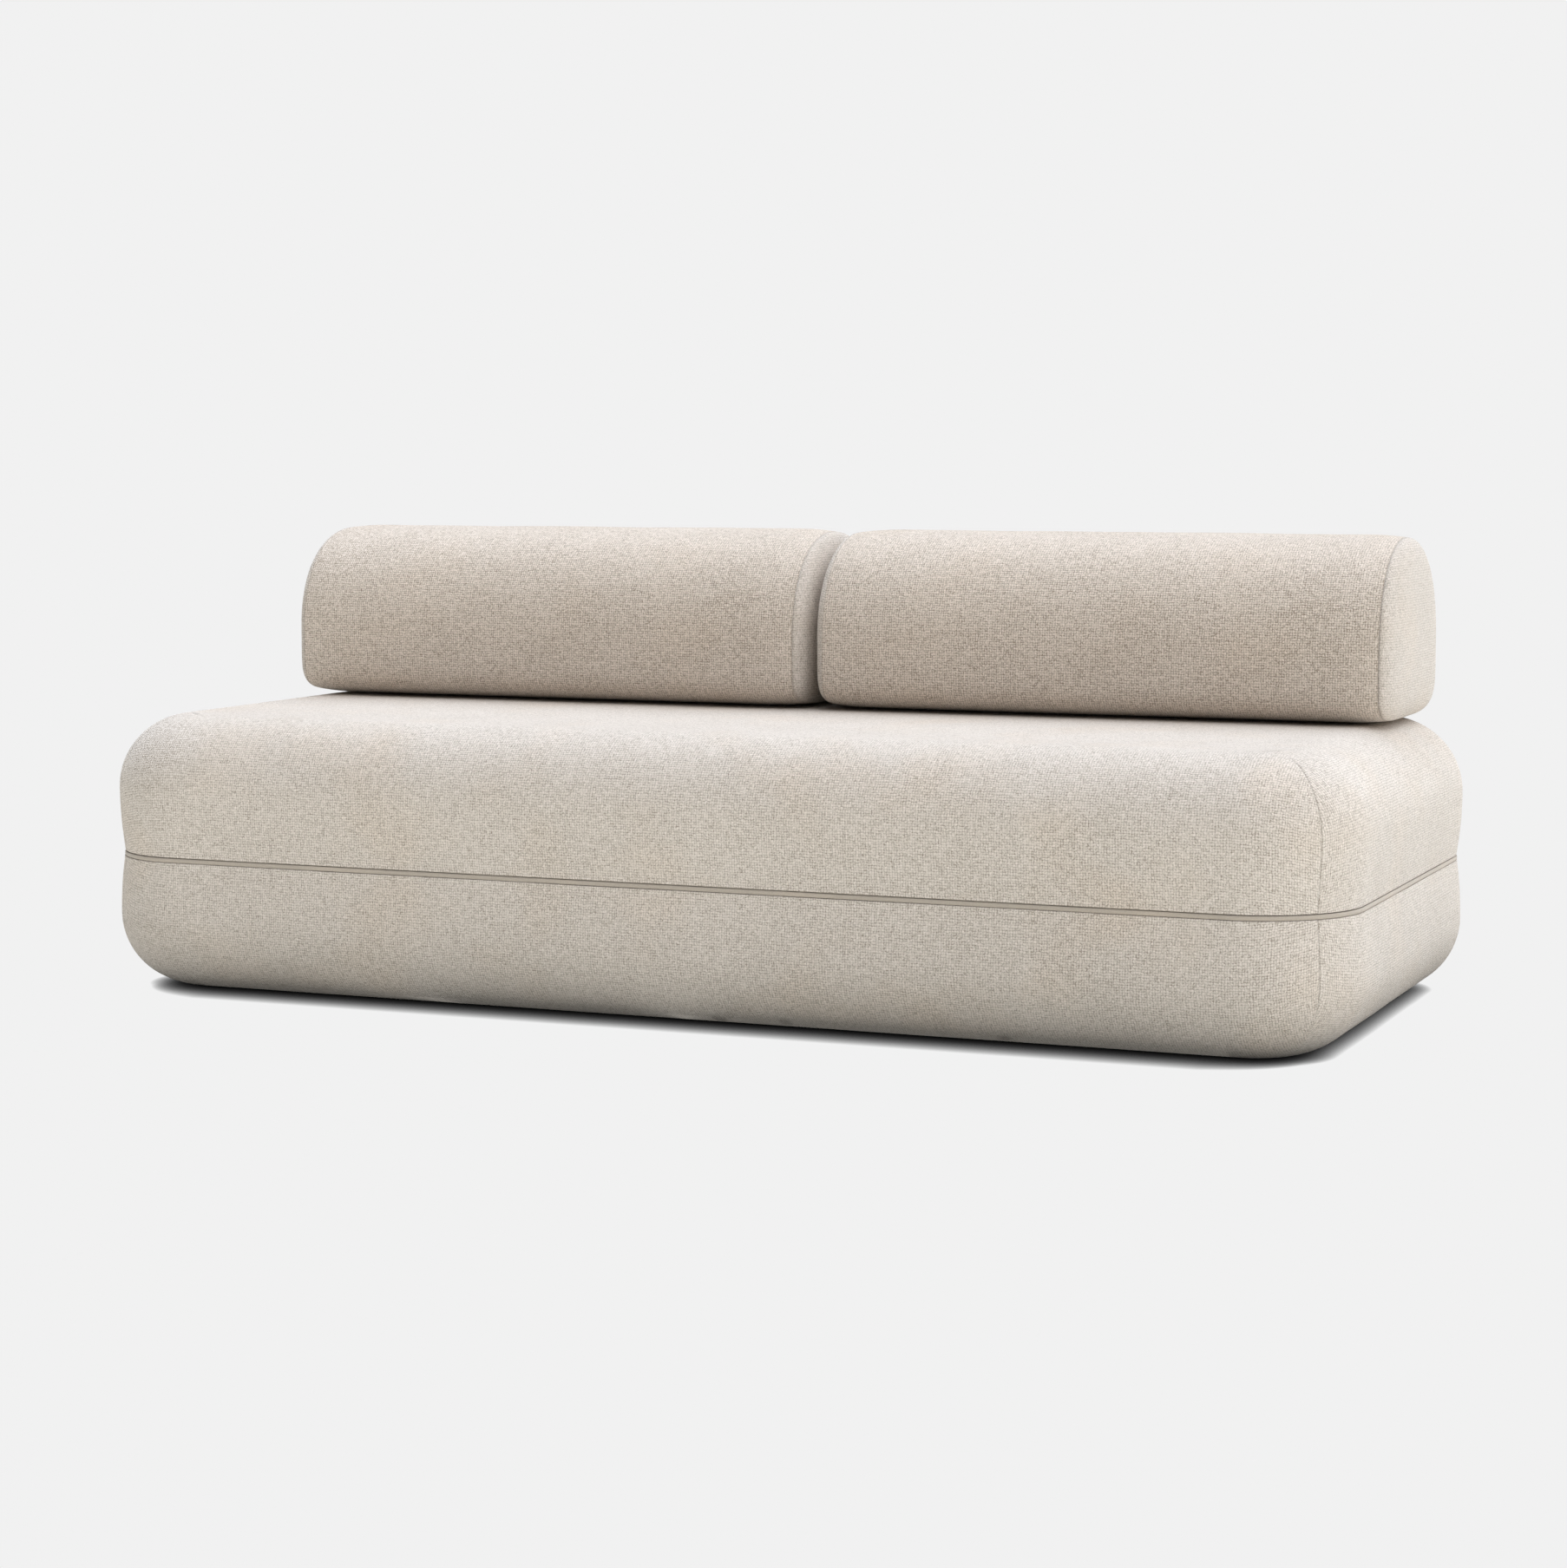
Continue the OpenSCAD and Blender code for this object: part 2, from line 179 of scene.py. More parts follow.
class MeshDraft:
    """Collects grids of points and their cloth coordinates, and makes one mesh of them."""

    def __init__(self) -> None:
        """Start with no points."""
        self.points: list[Array] = []
        self.seams: list[Array] = []
        self.faces: list[Array] = []
        self.cloth: list[Array] = []
        self.count = 0

    def grid(self, points: Array, left: Array, right: Array | None = None,
             closed: bool = False, seam: Array | None = None) -> None:
        """Add a grid of faces.

        Args:
            points: Points as rows by columns by three.
            left: Cloth coordinates of each point as the left edge of a face.
            right: Cloth coordinates as the right edge of a face, where these differ.
            closed: Whether the last column joins the first.
            seam: How strongly each point is darkened by painted seam shade, from 0 to 1.
        """
        rows, columns = points.shape[:2]
        right = left if right is None else right
        index = self.count + np.arange(rows * columns).reshape(rows, columns)
        last = columns if closed else columns - 1
        here = np.arange(last)
        after = (here + 1) % columns
        lower, upper = index[:-1], index[1:]
        quads = np.stack([lower[:, here], lower[:, after], upper[:, after], upper[:, here]], -1)
        corners = np.stack([left[:-1][:, here], right[:-1][:, after],
                            right[1:][:, after], left[1:][:, here]], 2)
        self.points.append(points.reshape(-1, 3))
        self.seams.append((np.zeros((rows, columns)) if seam is None else seam).ravel())
        self.faces.append(quads.reshape(-1, 4))
        self.cloth.append(corners.reshape(-1, 2))
        self.count += rows * columns

    def build(self, name: str, thickness: float = 0.0, weld: float = WELD) -> bpy.types.Object:
        """Make the object.

        Args:
            name: Name of the piece.
            thickness: Thickness that an open skin gets on its inner side.
            weld: Distance within which points become one.

        Returns:
            The new object, with its faces turned outward.
        """
        mesh = bpy.data.meshes.new(name)
        faces = np.concatenate(self.faces)
        mesh.from_pydata(np.concatenate(self.points).tolist(), [], faces.tolist())
        layer = mesh.uv_layers.new(name=CLOTH_MAP)
        layer.data.foreach_set("uv", np.concatenate(self.cloth).astype(np.float32).ravel())
        mark = mesh.attributes.new(PAINTED_SEAM_SHADE_MARK, "FLOAT", "POINT")
        mark.data.foreach_set("value", np.concatenate(self.seams).astype(np.float32))
        work = bmesh.new()
        work.from_mesh(mesh)
        bmesh.ops.remove_doubles(work, verts=work.verts, dist=weld)
        bmesh.ops.dissolve_degenerate(work, edges=work.edges, dist=weld / 10)
        loose = [vertex for vertex in work.verts if not vertex.link_faces]
        bmesh.ops.delete(work, geom=loose, context="VERTS")
        bmesh.ops.recalc_face_normals(work, faces=work.faces)
        middle = sum((v.co for v in work.verts), Vector()) / len(work.verts)
        facing = sum(f.calc_area() * f.normal.dot(f.calc_center_median() - middle)
                     for f in work.faces)
        if facing < 0:
            bmesh.ops.reverse_faces(work, faces=work.faces)
        work.to_mesh(mesh)
        work.free()
        mesh.polygons.foreach_set("use_smooth", np.ones(len(mesh.polygons), bool))
        mesh.update()
        piece = bpy.data.objects.new(name, mesh)
        bpy.context.scene.collection.objects.link(piece)
        if thickness:
            solid = piece.modifiers.new("cloth_thickness", "SOLIDIFY")
            solid.thickness = thickness
            solid.offset = -1
        return piece


def soft_bar(size: Triple, middle: Triple, ends: float = 5.0, section: float = 5.0,
             rings: int = 8, sides: int = 16, axis: int = 0) -> Array:
    """Shape a closed bar with rounded ends and a rounded section.

    Args:
        size: Its full size along the zip, out of the face and up.
        middle: Its middle, in the same order.
        ends: How square its ends are, from 2 for round ones.
        section: How square its section is, from 2 for a round one.
        rings: Rings of points from one end to the other.
        sides: Points around it.
        axis: The direction that the bar runs in.

    Returns:
        The points as rings by sides by three.
    """
    tilt = np.linspace(-math.pi / 2, math.pi / 2, rings)[:, None]
    turn = np.linspace(0, 2 * math.pi, sides + 1)[None, :-1]
    along = signed_power(np.sin(tilt), 2 / ends) * np.ones_like(turn)
    wide = np.maximum(np.cos(tilt), 0) ** (2 / ends)
    first = wide * signed_power(np.cos(turn), 2 / section)
    second = wide * signed_power(np.sin(turn), 2 / section)
    points = np.roll(np.stack([along, first, second], -1), axis, -1)
    return points * np.array(size) / 2 + np.array(middle)


# Finishes


@dataclass(frozen=True)
class Grain:
    """A noise: its scale, octaves, how rough the finer octaves are, and its strength."""

    scale: float
    octaves: float = 2.0
    rough: float = 0.5
    strength: float = 1.0


class NodeSketch:
    """Adds shader nodes to a material and joins them."""

    def __init__(self, tree: bpy.types.NodeTree) -> None:
        """Start on an empty node tree."""
        self.tree = tree
        tree.nodes.clear()

    def node(self, kind: str, **settings: object) -> bpy.types.Node:
        """Add a node and set its plain properties."""
        made = self.tree.nodes.new(kind)
        for name, value in settings.items():
            setattr(made, name, value)
        return made

    def feed(self, socket: bpy.types.NodeSocket, value: object) -> None:
        """Join a socket to an output, or set it to a plain value."""
        if isinstance(value, bpy.types.NodeSocket):
            self.tree.links.new(value, socket)
        else:
            socket.default_value = value

    def math(self, operation: str, *values: object, clamp: bool = False) -> bpy.types.NodeSocket:
        """Add a Math node.

        Args:
            operation: The node's operation.
            values: Its inputs, as numbers or outputs.
            clamp: Whether the result stays between 0 and 1.

        Returns:
            The node's output.
        """
        made = self.node("ShaderNodeMath", operation=operation, use_clamp=clamp)
        for socket, value in zip(made.inputs, values):
            self.feed(socket, value)
        return made.outputs[0]

    def line(self, value: object, slope: object, start: object,
             clamp: bool = False) -> bpy.types.NodeSocket:
        """Scale a value and shift it."""
        return self.math("MULTIPLY_ADD", value, slope, start, clamp=clamp)

    def times(self, first: object, second: object, clamp: bool = False) -> bpy.types.NodeSocket:
        """Multiply two values."""
        return self.math("MULTIPLY", first, second, clamp=clamp)

    def total(self, *values: object) -> bpy.types.NodeSocket:
        """Add values up."""
        return reduce(partial(self.math, "ADD"), values)

    def size(self, value: object) -> bpy.types.NodeSocket:
        """Drop a value's sign."""
        return self.math("ABSOLUTE", value)

    def wave(self, value: object, length: float) -> bpy.types.NodeSocket:
        """Swing from -1 to 1 and back once in a length."""
        return self.math("SINE", self.times(value, 2 * math.pi / length))

    def vector(self, x: object, y: object, z: object = 0.0) -> bpy.types.NodeSocket:
        """Join three values into a vector."""
        made = self.node("ShaderNodeCombineXYZ")
        for socket, value in zip(made.inputs, (x, y, z)):
            self.feed(socket, value)
        return made.outputs[0]

    def split(self, vector: bpy.types.NodeSocket) -> tuple[bpy.types.NodeSocket, ...]:
        """Take a vector apart."""
        made = self.node("ShaderNodeSeparateXYZ")
        self.feed(made.inputs[0], vector)
        return tuple(made.outputs)

    def noise(self, vector: object, grain: Grain) -> bpy.types.NodeSocket:
        """Add a noise texture, whose values run from about 0.2 to 0.8."""
        made = self.node("ShaderNodeTexNoise")
        self.feed(made.inputs["Vector"], vector)
        made.inputs["Scale"].default_value = grain.scale
        made.inputs["Detail"].default_value = grain.octaves
        made.inputs["Roughness"].default_value = grain.rough
        return made.outputs[0]

    def grain(self, vector: object, grain: Grain, clamp: bool = False) -> bpy.types.NodeSocket:
        """Add a noise that swings about zero with the grain's strength."""
        return self.line(self.noise(vector, grain), grain.strength, -grain.strength / 2, clamp)

    def mix(self, share: object, first: object, second: object,
            blend: str = "MIX") -> bpy.types.NodeSocket:
        """Mix two colours.

        Args:
            share: How much of the second one.
            first: The first colour.
            second: The second colour.
            blend: How they mix.

        Returns:
            The mixed colour.
        """
        made = self.node("ShaderNodeMix", data_type="RGBA", blend_type=blend)
        self.feed(made.inputs[0], share)
        for socket, value in ((made.inputs[6], first), (made.inputs[7], second)):
            self.feed(socket, (*value, 1.0) if isinstance(value, tuple) else value)
        return made.outputs[2]

    def bump(self, height: object, depth: float, strength: float = 1.0) -> bpy.types.NodeSocket:
        """Turn a height into a bumped normal."""
        made = self.node("ShaderNodeBump")
        made.inputs["Strength"].default_value = strength
        made.inputs["Distance"].default_value = depth
        self.feed(made.inputs["Height"], height)
        return made.outputs[0]

    def surface(self, colour: object, roughness: object, normal: object = None,
                **plain: float) -> None:
        """Finish with a principled surface.

        Args:
            colour: Base colour.
            roughness: Roughness.
            normal: Bumped normal, if any.
            plain: Other sockets' plain values, by name with underscores for spaces.
        """
        shader = self.node("ShaderNodeBsdfPrincipled")
        self.feed(shader.inputs["Base Color"],
                  (*colour, 1.0) if isinstance(colour, tuple) else colour)
        self.feed(shader.inputs["Roughness"], roughness)
        if normal is not None:
            self.feed(shader.inputs["Normal"], normal)
        for name, value in plain.items():
            shader.inputs[name.replace("_", " ")].default_value = value
        output = self.node("ShaderNodeOutputMaterial")
        self.tree.links.new(shader.outputs[0], output.inputs[0])


@dataclass(frozen=True)
class Finish:
    """A named finish, with the material slot that it belongs to."""

    name: str
    slot: str

    def material(self) -> bpy.types.Material:
        """Make the material, or find it if it is made already."""
        found = bpy.data.materials.get(self.name)
        if found:
            return found
        made = bpy.data.materials.new(self.name)
        made.use_nodes = True
        self.draw(NodeSketch(made.node_tree))
        return made

    def draw(self, sketch: NodeSketch) -> None:
        """Add the finish's nodes."""
        raise NotImplementedError

    def dress(self, piece: bpy.types.Object) -> bpy.types.Object:
        """Give the whole piece this finish.

        Args:
            piece: The piece to dress.

        Returns:
            The same piece.
        """
        piece.data.materials.clear()
        piece.data.materials.append(self.material())
        return piece


@dataclass(frozen=True)
class WovenCloth(Finish):
    """A heathered plain weave of slubby yarns."""

    shade: Rgb = linear(216, 207, 197)
    gap: Rgb = linear(148, 136, 121)
    bright: Rgb = linear(239, 230, 222)
    warm: Rgb = linear(218, 202, 184)
    # Painted shade: the seam colour darkens the cloth along seams and darts, for the shade in their
    # grooves.
    seam: Rgb = linear(120, 108, 92)
    pitch: float = 0.0039
    ribs: float = 1.0
    slub: float = 0.010
    slubs: float = 1.3
    crossing: float = 2.2
    fullness: float = 0.65
    row_step: float = 1.37
    weft_seed: float = 9.0
    crest: float = 0.95
    trough: float = 0.63
    evenness: float = 0.65
    wobble: Grain = Grain(60.0, 3.0, 0.75, 1.5)
    thick_and_thin: Grain = Grain(1.0, 2.0, 0.7)
    uneven: Grain = Grain(110.0, 2.0, 0.7, 0.8)
    fleck: Grain = Grain(420.0, 1.0, 0.5, 1.2)
    fibre: Grain = Grain(800.0, 2.0, 0.6, 0.5)
    cloud: Grain = Grain(7.0, 3.0, 0.5, 0.16)
    patch: Grain = Grain(5.5, 2.0, 0.5, 4.0)
    dye: float = 0.4
    painted_seam_shade: float = 0.7
    slub_relief: float = 0.8
    fibre_relief: float = 0.6
    depth: float = 0.0005
    contrast: float = 0.9
    roughness: float = 0.92
    gloss: float = 0.18
    sheen: float = 0.3
    sheen_roughness: float = 0.6

    def yarns(self, sketch: NodeSketch, place: object) -> tuple[object, object]:
        """Lay warp over weft and weft over warp in turn.

        Args:
            sketch: The material's nodes.
            place: Cloth coordinates.

        Returns:
            The height of the yarn on top, and how thick it is there.
        """
        along, across, _ = sketch.split(place)
        drift = sketch.grain(place, self.wobble)
        warp = sketch.line(along, 1 / self.pitch, drift)
        weft = sketch.line(across, self.ribs / self.pitch, drift)
        waves = [sketch.math("SINE", sketch.times(row, math.pi)) for row in (warp, weft)]
        over = sketch.line(sketch.times(*waves), self.crossing, 0.5, clamp=True)
        rounds = [sketch.math("POWER", sketch.size(wave), self.fullness) for wave in waves]
        crests = [sketch.line(sketch.size(wave), 0.5, 0.5) for wave in reversed(waves)]
        tops = [sketch.times(*pair) for pair in zip(rounds, crests)]
        rows = [sketch.times(sketch.math("FLOOR", row), self.row_step) for row in (warp, weft)]
        runs = [sketch.vector(rows[0], sketch.times(across, 1 / self.slub)),
                sketch.vector(sketch.times(along, 1 / self.slub), rows[1], self.weft_seed)]
        slubs = [sketch.noise(run, self.thick_and_thin) for run in runs]
        return self.choose(sketch, over, tops), self.choose(sketch, over, slubs)

    @staticmethod
    def choose(sketch: NodeSketch, over: object, pair: list[object]) -> object:
        """Take the warp's value where it is on top, and else the weft's."""
        under = sketch.math("SUBTRACT", 1.0, over)
        return sketch.total(sketch.times(pair[0], over), sketch.times(pair[1], under))

    def draw(self, sketch: NodeSketch) -> None:
        """Draw the weave in cloth coordinates, so that it follows the cut of the cover."""
        place = sketch.node("ShaderNodeUVMap", uv_map=CLOTH_MAP).outputs[0]
        height, thick = self.yarns(sketch, place)
        fibre = sketch.grain(place, self.fibre)
        uneven = sketch.total(sketch.grain(place, self.uneven), self.evenness)
        lift = sketch.total(sketch.times(uneven, sketch.line(height, self.crest, -self.trough)),
                            sketch.line(thick, self.slubs, -self.slubs / 2),
                            sketch.grain(place, self.fleck), fibre,
                            sketch.grain(place, self.cloud))
        # Colour follows the yarns' height as well as their slubs and flecks: the low places between
        # the yarns carry painted shade, the rest is the yarns' own tone.
        ramp = sketch.node("ShaderNodeValToRGB")
        ramp.color_ramp.elements[0].color = (*self.gap, 1)
        ramp.color_ramp.elements[1].color = (*self.bright, 1)
        ramp.color_ramp.elements.new(0.5).color = (*self.shade, 1)
        sketch.feed(ramp.inputs[0], sketch.line(lift, self.contrast, 0.5, clamp=True))
        patch = sketch.grain(place, self.patch, clamp=True)
        dyed = sketch.mix(sketch.times(patch, self.dye), ramp.outputs[0],
                          tuple(w / s for w, s in zip(self.warm, self.shade)), "MULTIPLY")
        # Painted shade along seams and darts, as strong as each point's seam mark.
        mark = sketch.node("ShaderNodeAttribute", attribute_name=PAINTED_SEAM_SHADE_MARK).outputs["Fac"]
        wear_and_seam_shade = sketch.mix(sketch.times(mark, self.painted_seam_shade), dyed, self.seam)
        relief = sketch.line(fibre, self.fibre_relief, sketch.line(thick, self.slub_relief, height))
        sketch.surface(wear_and_seam_shade, self.roughness, sketch.bump(relief, self.depth),
                       Specular_IOR_Level=self.gloss, Sheen_Weight=self.sheen,
                       Sheen_Roughness=self.sheen_roughness)


@dataclass(frozen=True)
class RibbedTape(Finish):
    """A narrow woven tape with a herringbone rib, and stitches along it where asked."""

    shade: Rgb = linear(186, 174, 153)
    pitch: float = 0.0016
    stitched: float = 0.0
    stitch: float = 0.0034
    thread: Rgb = linear(214, 205, 190)
    thread_half: float = 0.00064
    thread_soft: float = 0.0004
    thread_height: float = 2.0
    dark_share: float = 0.72
    rib_height: float = 0.35
    ribs_to_turn: int = 3
    fibre: Grain = Grain(1400.0)
    tone: tuple[float, float] = (0.4, 0.3)
    stitch_edge: tuple[float, float] = (4.0, 2.0)
    roughness: float = 0.85
    gloss: float = 0.25
    depth: float = 0.0002

    def sewn(self, sketch: NodeSketch, along: object, across: object) -> object:
        """Where stitches lie, in two rows."""
        aside = sketch.size(sketch.math("SUBTRACT", sketch.size(across), self.stitched))
        near = sketch.line(aside, -1 / self.thread_soft, self.thread_half / self.thread_soft,
                           clamp=True)
        beat = sketch.wave(along, self.stitch)
        return sketch.times(near, sketch.line(beat, *self.stitch_edge, clamp=True))

    def draw(self, sketch: NodeSketch) -> None:
        """Draw slanting ribs that change direction every few millimetres."""
        place = sketch.node("ShaderNodeUVMap", uv_map=CLOTH_MAP).outputs[0]
        along, across, _ = sketch.split(place)
        fold = sketch.math("PINGPONG", across, self.pitch * self.ribs_to_turn)
        rib = sketch.wave(sketch.total(along, fold), self.pitch)
        height = sketch.line(rib, self.rib_height, sketch.noise(place, self.fibre))
        tone = sketch.line(height, *self.tone, clamp=True)
        colour = sketch.mix(tone, darker(self.shade, self.dark_share), self.shade)
        if self.stitched:
            sewn = self.sewn(sketch, along, across)
            colour = sketch.mix(sewn, colour, self.thread)
            height = sketch.line(sewn, self.thread_height, height)
        sketch.surface(colour, self.roughness, sketch.bump(height, self.depth),
                       Specular_IOR_Level=self.gloss)


@dataclass(frozen=True)
class FibreWadding(Finish):
    """Soft lofty polyester fibre."""

    shade: Rgb = linear(242, 239, 232)
    dark_share: float = 0.8
    strands: Grain = Grain(420.0, 5.0, 0.75)
    clouds: Grain = Grain(28.0, 3.0, 0.6)
    loft: float = 1.4
    roughness: float = 0.95
    gloss: float = 0.15
    sheen: float = 0.4
    depth: float = 0.0015

    def draw(self, sketch: NodeSketch) -> None:
        """Draw tangled fibres with cloudy thick and thin places."""
        place = sketch.node("ShaderNodeTexCoord").outputs["Object"]
        strands = sketch.noise(place, self.strands)
        height = sketch.line(sketch.noise(place, self.clouds), self.loft, strands)
        colour = sketch.mix(strands, darker(self.shade, self.dark_share), self.shade)
        sketch.surface(colour, self.roughness, sketch.bump(height, self.depth),
                       Sheen_Weight=self.sheen, Specular_IOR_Level=self.gloss)


@dataclass(frozen=True)
class CellFoam(Finish):
    """Open cell upholstery foam."""

    shade: Rgb = linear(236, 224, 182)
    cell: float = 0.0022
    cell_grain: float = 0.6
    hollow: float = 1.2
    dark_share: float = 0.66
    lit: float = 0.75
    roughness: float = 0.9
    gloss: float = 0.2
    depth: float = 0.0008

    def draw(self, sketch: NodeSketch) -> None:
        """Draw round cells, darkened in their hollows as painted shade, with a finer grain."""
        place = sketch.node("ShaderNodeTexCoord").outputs["Object"]
        cells = sketch.node("ShaderNodeTexVoronoi")
        sketch.feed(cells.inputs["Vector"], place)
        cells.inputs["Scale"].default_value = 1 / self.cell
        hollow = sketch.times(cells.outputs["Distance"], self.hollow, clamp=True)
        grain = sketch.noise(place, Grain(self.cell_grain / self.cell, 3.0, 0.6))
        height = sketch.total(hollow, grain)
        colour = sketch.mix(sketch.times(height, self.lit, clamp=True),
                            darker(self.shade, self.dark_share), self.shade)
        sketch.surface(colour, self.roughness, sketch.bump(height, self.depth),
                       Specular_IOR_Level=self.gloss)


@dataclass(frozen=True)
class GripCloth(Finish):
    """Dark cloth or rubber with rows of raised grip dots."""

    shade: Rgb = linear(78, 75, 71)
    dot: Rgb = linear(58, 56, 54)
    pitch: float = 0.006
    dot_roughness: float = 0.6
    roughness: float = 0.9
    gloss: float = 0.4
    dot_edge: float = 4.0
    dot_start: float = 1.6
    dot_height: float = 1.5
    weave: Grain = Grain(700.0)
    depth: float = 0.0004

    def draw(self, sketch: NodeSketch) -> None:
        """Draw staggered round dots on a fine weave."""
        place = sketch.node("ShaderNodeTexCoord").outputs["Object"]
        x, y, _ = sketch.split(place)
        rows = sketch.times(sketch.wave(x, self.pitch), sketch.wave(y, self.pitch))
        dots = sketch.line(rows, self.dot_edge, -self.dot_start, clamp=True)
        height = sketch.line(dots, self.dot_height, sketch.noise(place, self.weave))
        rough = sketch.line(dots, self.dot_roughness - self.roughness, self.roughness)
        sketch.surface(sketch.mix(dots, self.shade, self.dot), rough,
                       sketch.bump(height, self.depth), Specular_IOR_Level=self.gloss)


@dataclass(frozen=True)
class PlainSolid(Finish):
    """Moulded plastic or painted metal with a fine uneven surface."""

    shade: Rgb = linear(146, 137, 120)
    roughness: float = 0.4
    metal: float = 0.0
    grain: Grain = Grain(900.0, 3.0, 0.6)
    marks: Grain = Grain(150.0, 3.0, 0.7)
    worn_share: float = 1.25
    wear: float = 0.6
    unevenness: float = 0.25
    polish: float = 0.12
    depth: float = 0.00005

    def draw(self, sketch: NodeSketch) -> None:
        """Draw a fine grain with faint marks of use."""
        place = sketch.node("ShaderNodeTexCoord").outputs["Object"]
        fine = sketch.noise(place, self.grain)
        marks = sketch.noise(place, self.marks)
        wear_and_seam_shade = tuple(min(1.0, value) for value in darker(self.shade, self.worn_share))
        rough = sketch.line(marks, self.unevenness, self.roughness - self.polish)
        sketch.surface(sketch.mix(sketch.times(marks, self.wear), self.shade, wear_and_seam_shade), rough,
                       sketch.bump(fine, self.depth), Metallic=self.metal)


class Finishes:
    """The finishes of this sofa bed."""

    COVER = WovenCloth("cover_cloth", "cover_fabric")
    # The bolster cloth is the cover cloth made warmer: painted warm light reflected from the seat
    # onto the bolsters.
    BOLSTER = WovenCloth("bolster_cloth", "bolster_fabric", linear(219, 207, 194),
                         linear(151, 136, 118), linear(242, 230, 219), contrast=1.15)
    PANEL = WovenCloth("end_panel_cloth", "end_fabric", ribs=1.8)
    SLEEP = WovenCloth("sleeping_cloth", "sleep_fabric")
    # The piping is the cover cloth painted darker: painted shade for the recess between the blocks
    # where it sits.
    PIPING = WovenCloth("piping_cloth", "piping_fabric", linear(186, 176, 163),
                        linear(156, 145, 131), linear(199, 190, 178), pitch=0.0015,
                        slub=0.012, depth=0.0001, contrast=0.4)
    WADDING = FibreWadding("lofty_fibre", "fibre_wadding")
    SUPPORT = CellFoam("firm_foam_cells", "support_foam")
    COMFORT = CellFoam("soft_foam_cells", "comfort_foam", linear(243, 237, 214), 0.0016)
    UNDERSIDE = GripCloth("underside_grip", "underside_cloth")
    MAT = GripCloth("dotted_grip_mat", "grip_mat", linear(142, 139, 133),
                    linear(124, 121, 116), 0.005)
    TAPE = RibbedTape("sewn_zip_tape", "zip_tape", stitched=0.008)
    TEETH = PlainSolid("moulded_zip_teeth", "zip_teeth", linear(150, 139, 120), 0.42)
    METAL = PlainSolid("cast_zip_metal", "zip_metal", linear(152, 144, 128), 0.34, 0.85)
    # The webbing's dark colour is painted shade, so that the gap between the blocks where it sits
    # looks dark.
    WEBBING = RibbedTape("ribbed_webbing", "hinge_webbing", linear(168, 158, 142), 0.0022)


# The foam blocks


class Turn(Enum):
    """Which way up a block lies in the folded sofa."""

    BASE = "base"
    SEAT = "seat"


@dataclass(frozen=True)
class BlockSizes:
    """Sizes shared by the two blocks, in metres."""

    width: float = 2.0
    depth: float = 0.95
    fold_height: float = 0.215
    corner: float = 0.165
    edge: float = 0.115
    crown: float = 0.007
    crisp: float = 0.006
    lip: float = 0.0010
    sag: float = 0.0014
    floor_clear: float = 0.0013
    fold_gap: float = 0.0024
    zip: float = 1.4
    fabric: float = 0.0015
    wadding: float = 0.015
    comfort: float = 0.040
    layer_gap: float = 0.0004
    rest_gap: float = 0.0003
    piping: float = 0.007
    underside: float = 0.001
    underside_margin: float = 0.012

    @property
    def body(self) -> float:
        """Height of one block."""
        return self.fold_height - self.fold_gap / 2 - self.floor_clear

    @property
    def rebate(self) -> float:
        """Room for the piping, across and up."""
        return self.piping + self.rest_gap

    def side_top(self, piped: bool) -> float:
        """Height where the swollen side ends."""
        return self.body - (self.rebate if piped else self.crisp)

    def swell(self, height: Array | float) -> Array | float:
        """How far the side stands in at a height above the soft edge."""
        span = self.body - self.edge - self.crisp
        return self.crown * ((height - self.edge) / span) ** 2

    def zip_band(self, piped: bool) -> tuple[float, float, float]:
        """The flat band of the back that carries the zip.

        Args:
            piped: Whether the block has piping.

        Returns:
            Its inset, its height and its lean.
        """
        top = self.side_top(piped)
        low = self.edge + (top - self.edge) * 2 / 3
        insets = self.swell(top), self.swell(low)
        return sum(insets) / 2, (top + low) / 2, math.atan2(insets[0] - insets[1], top - low)


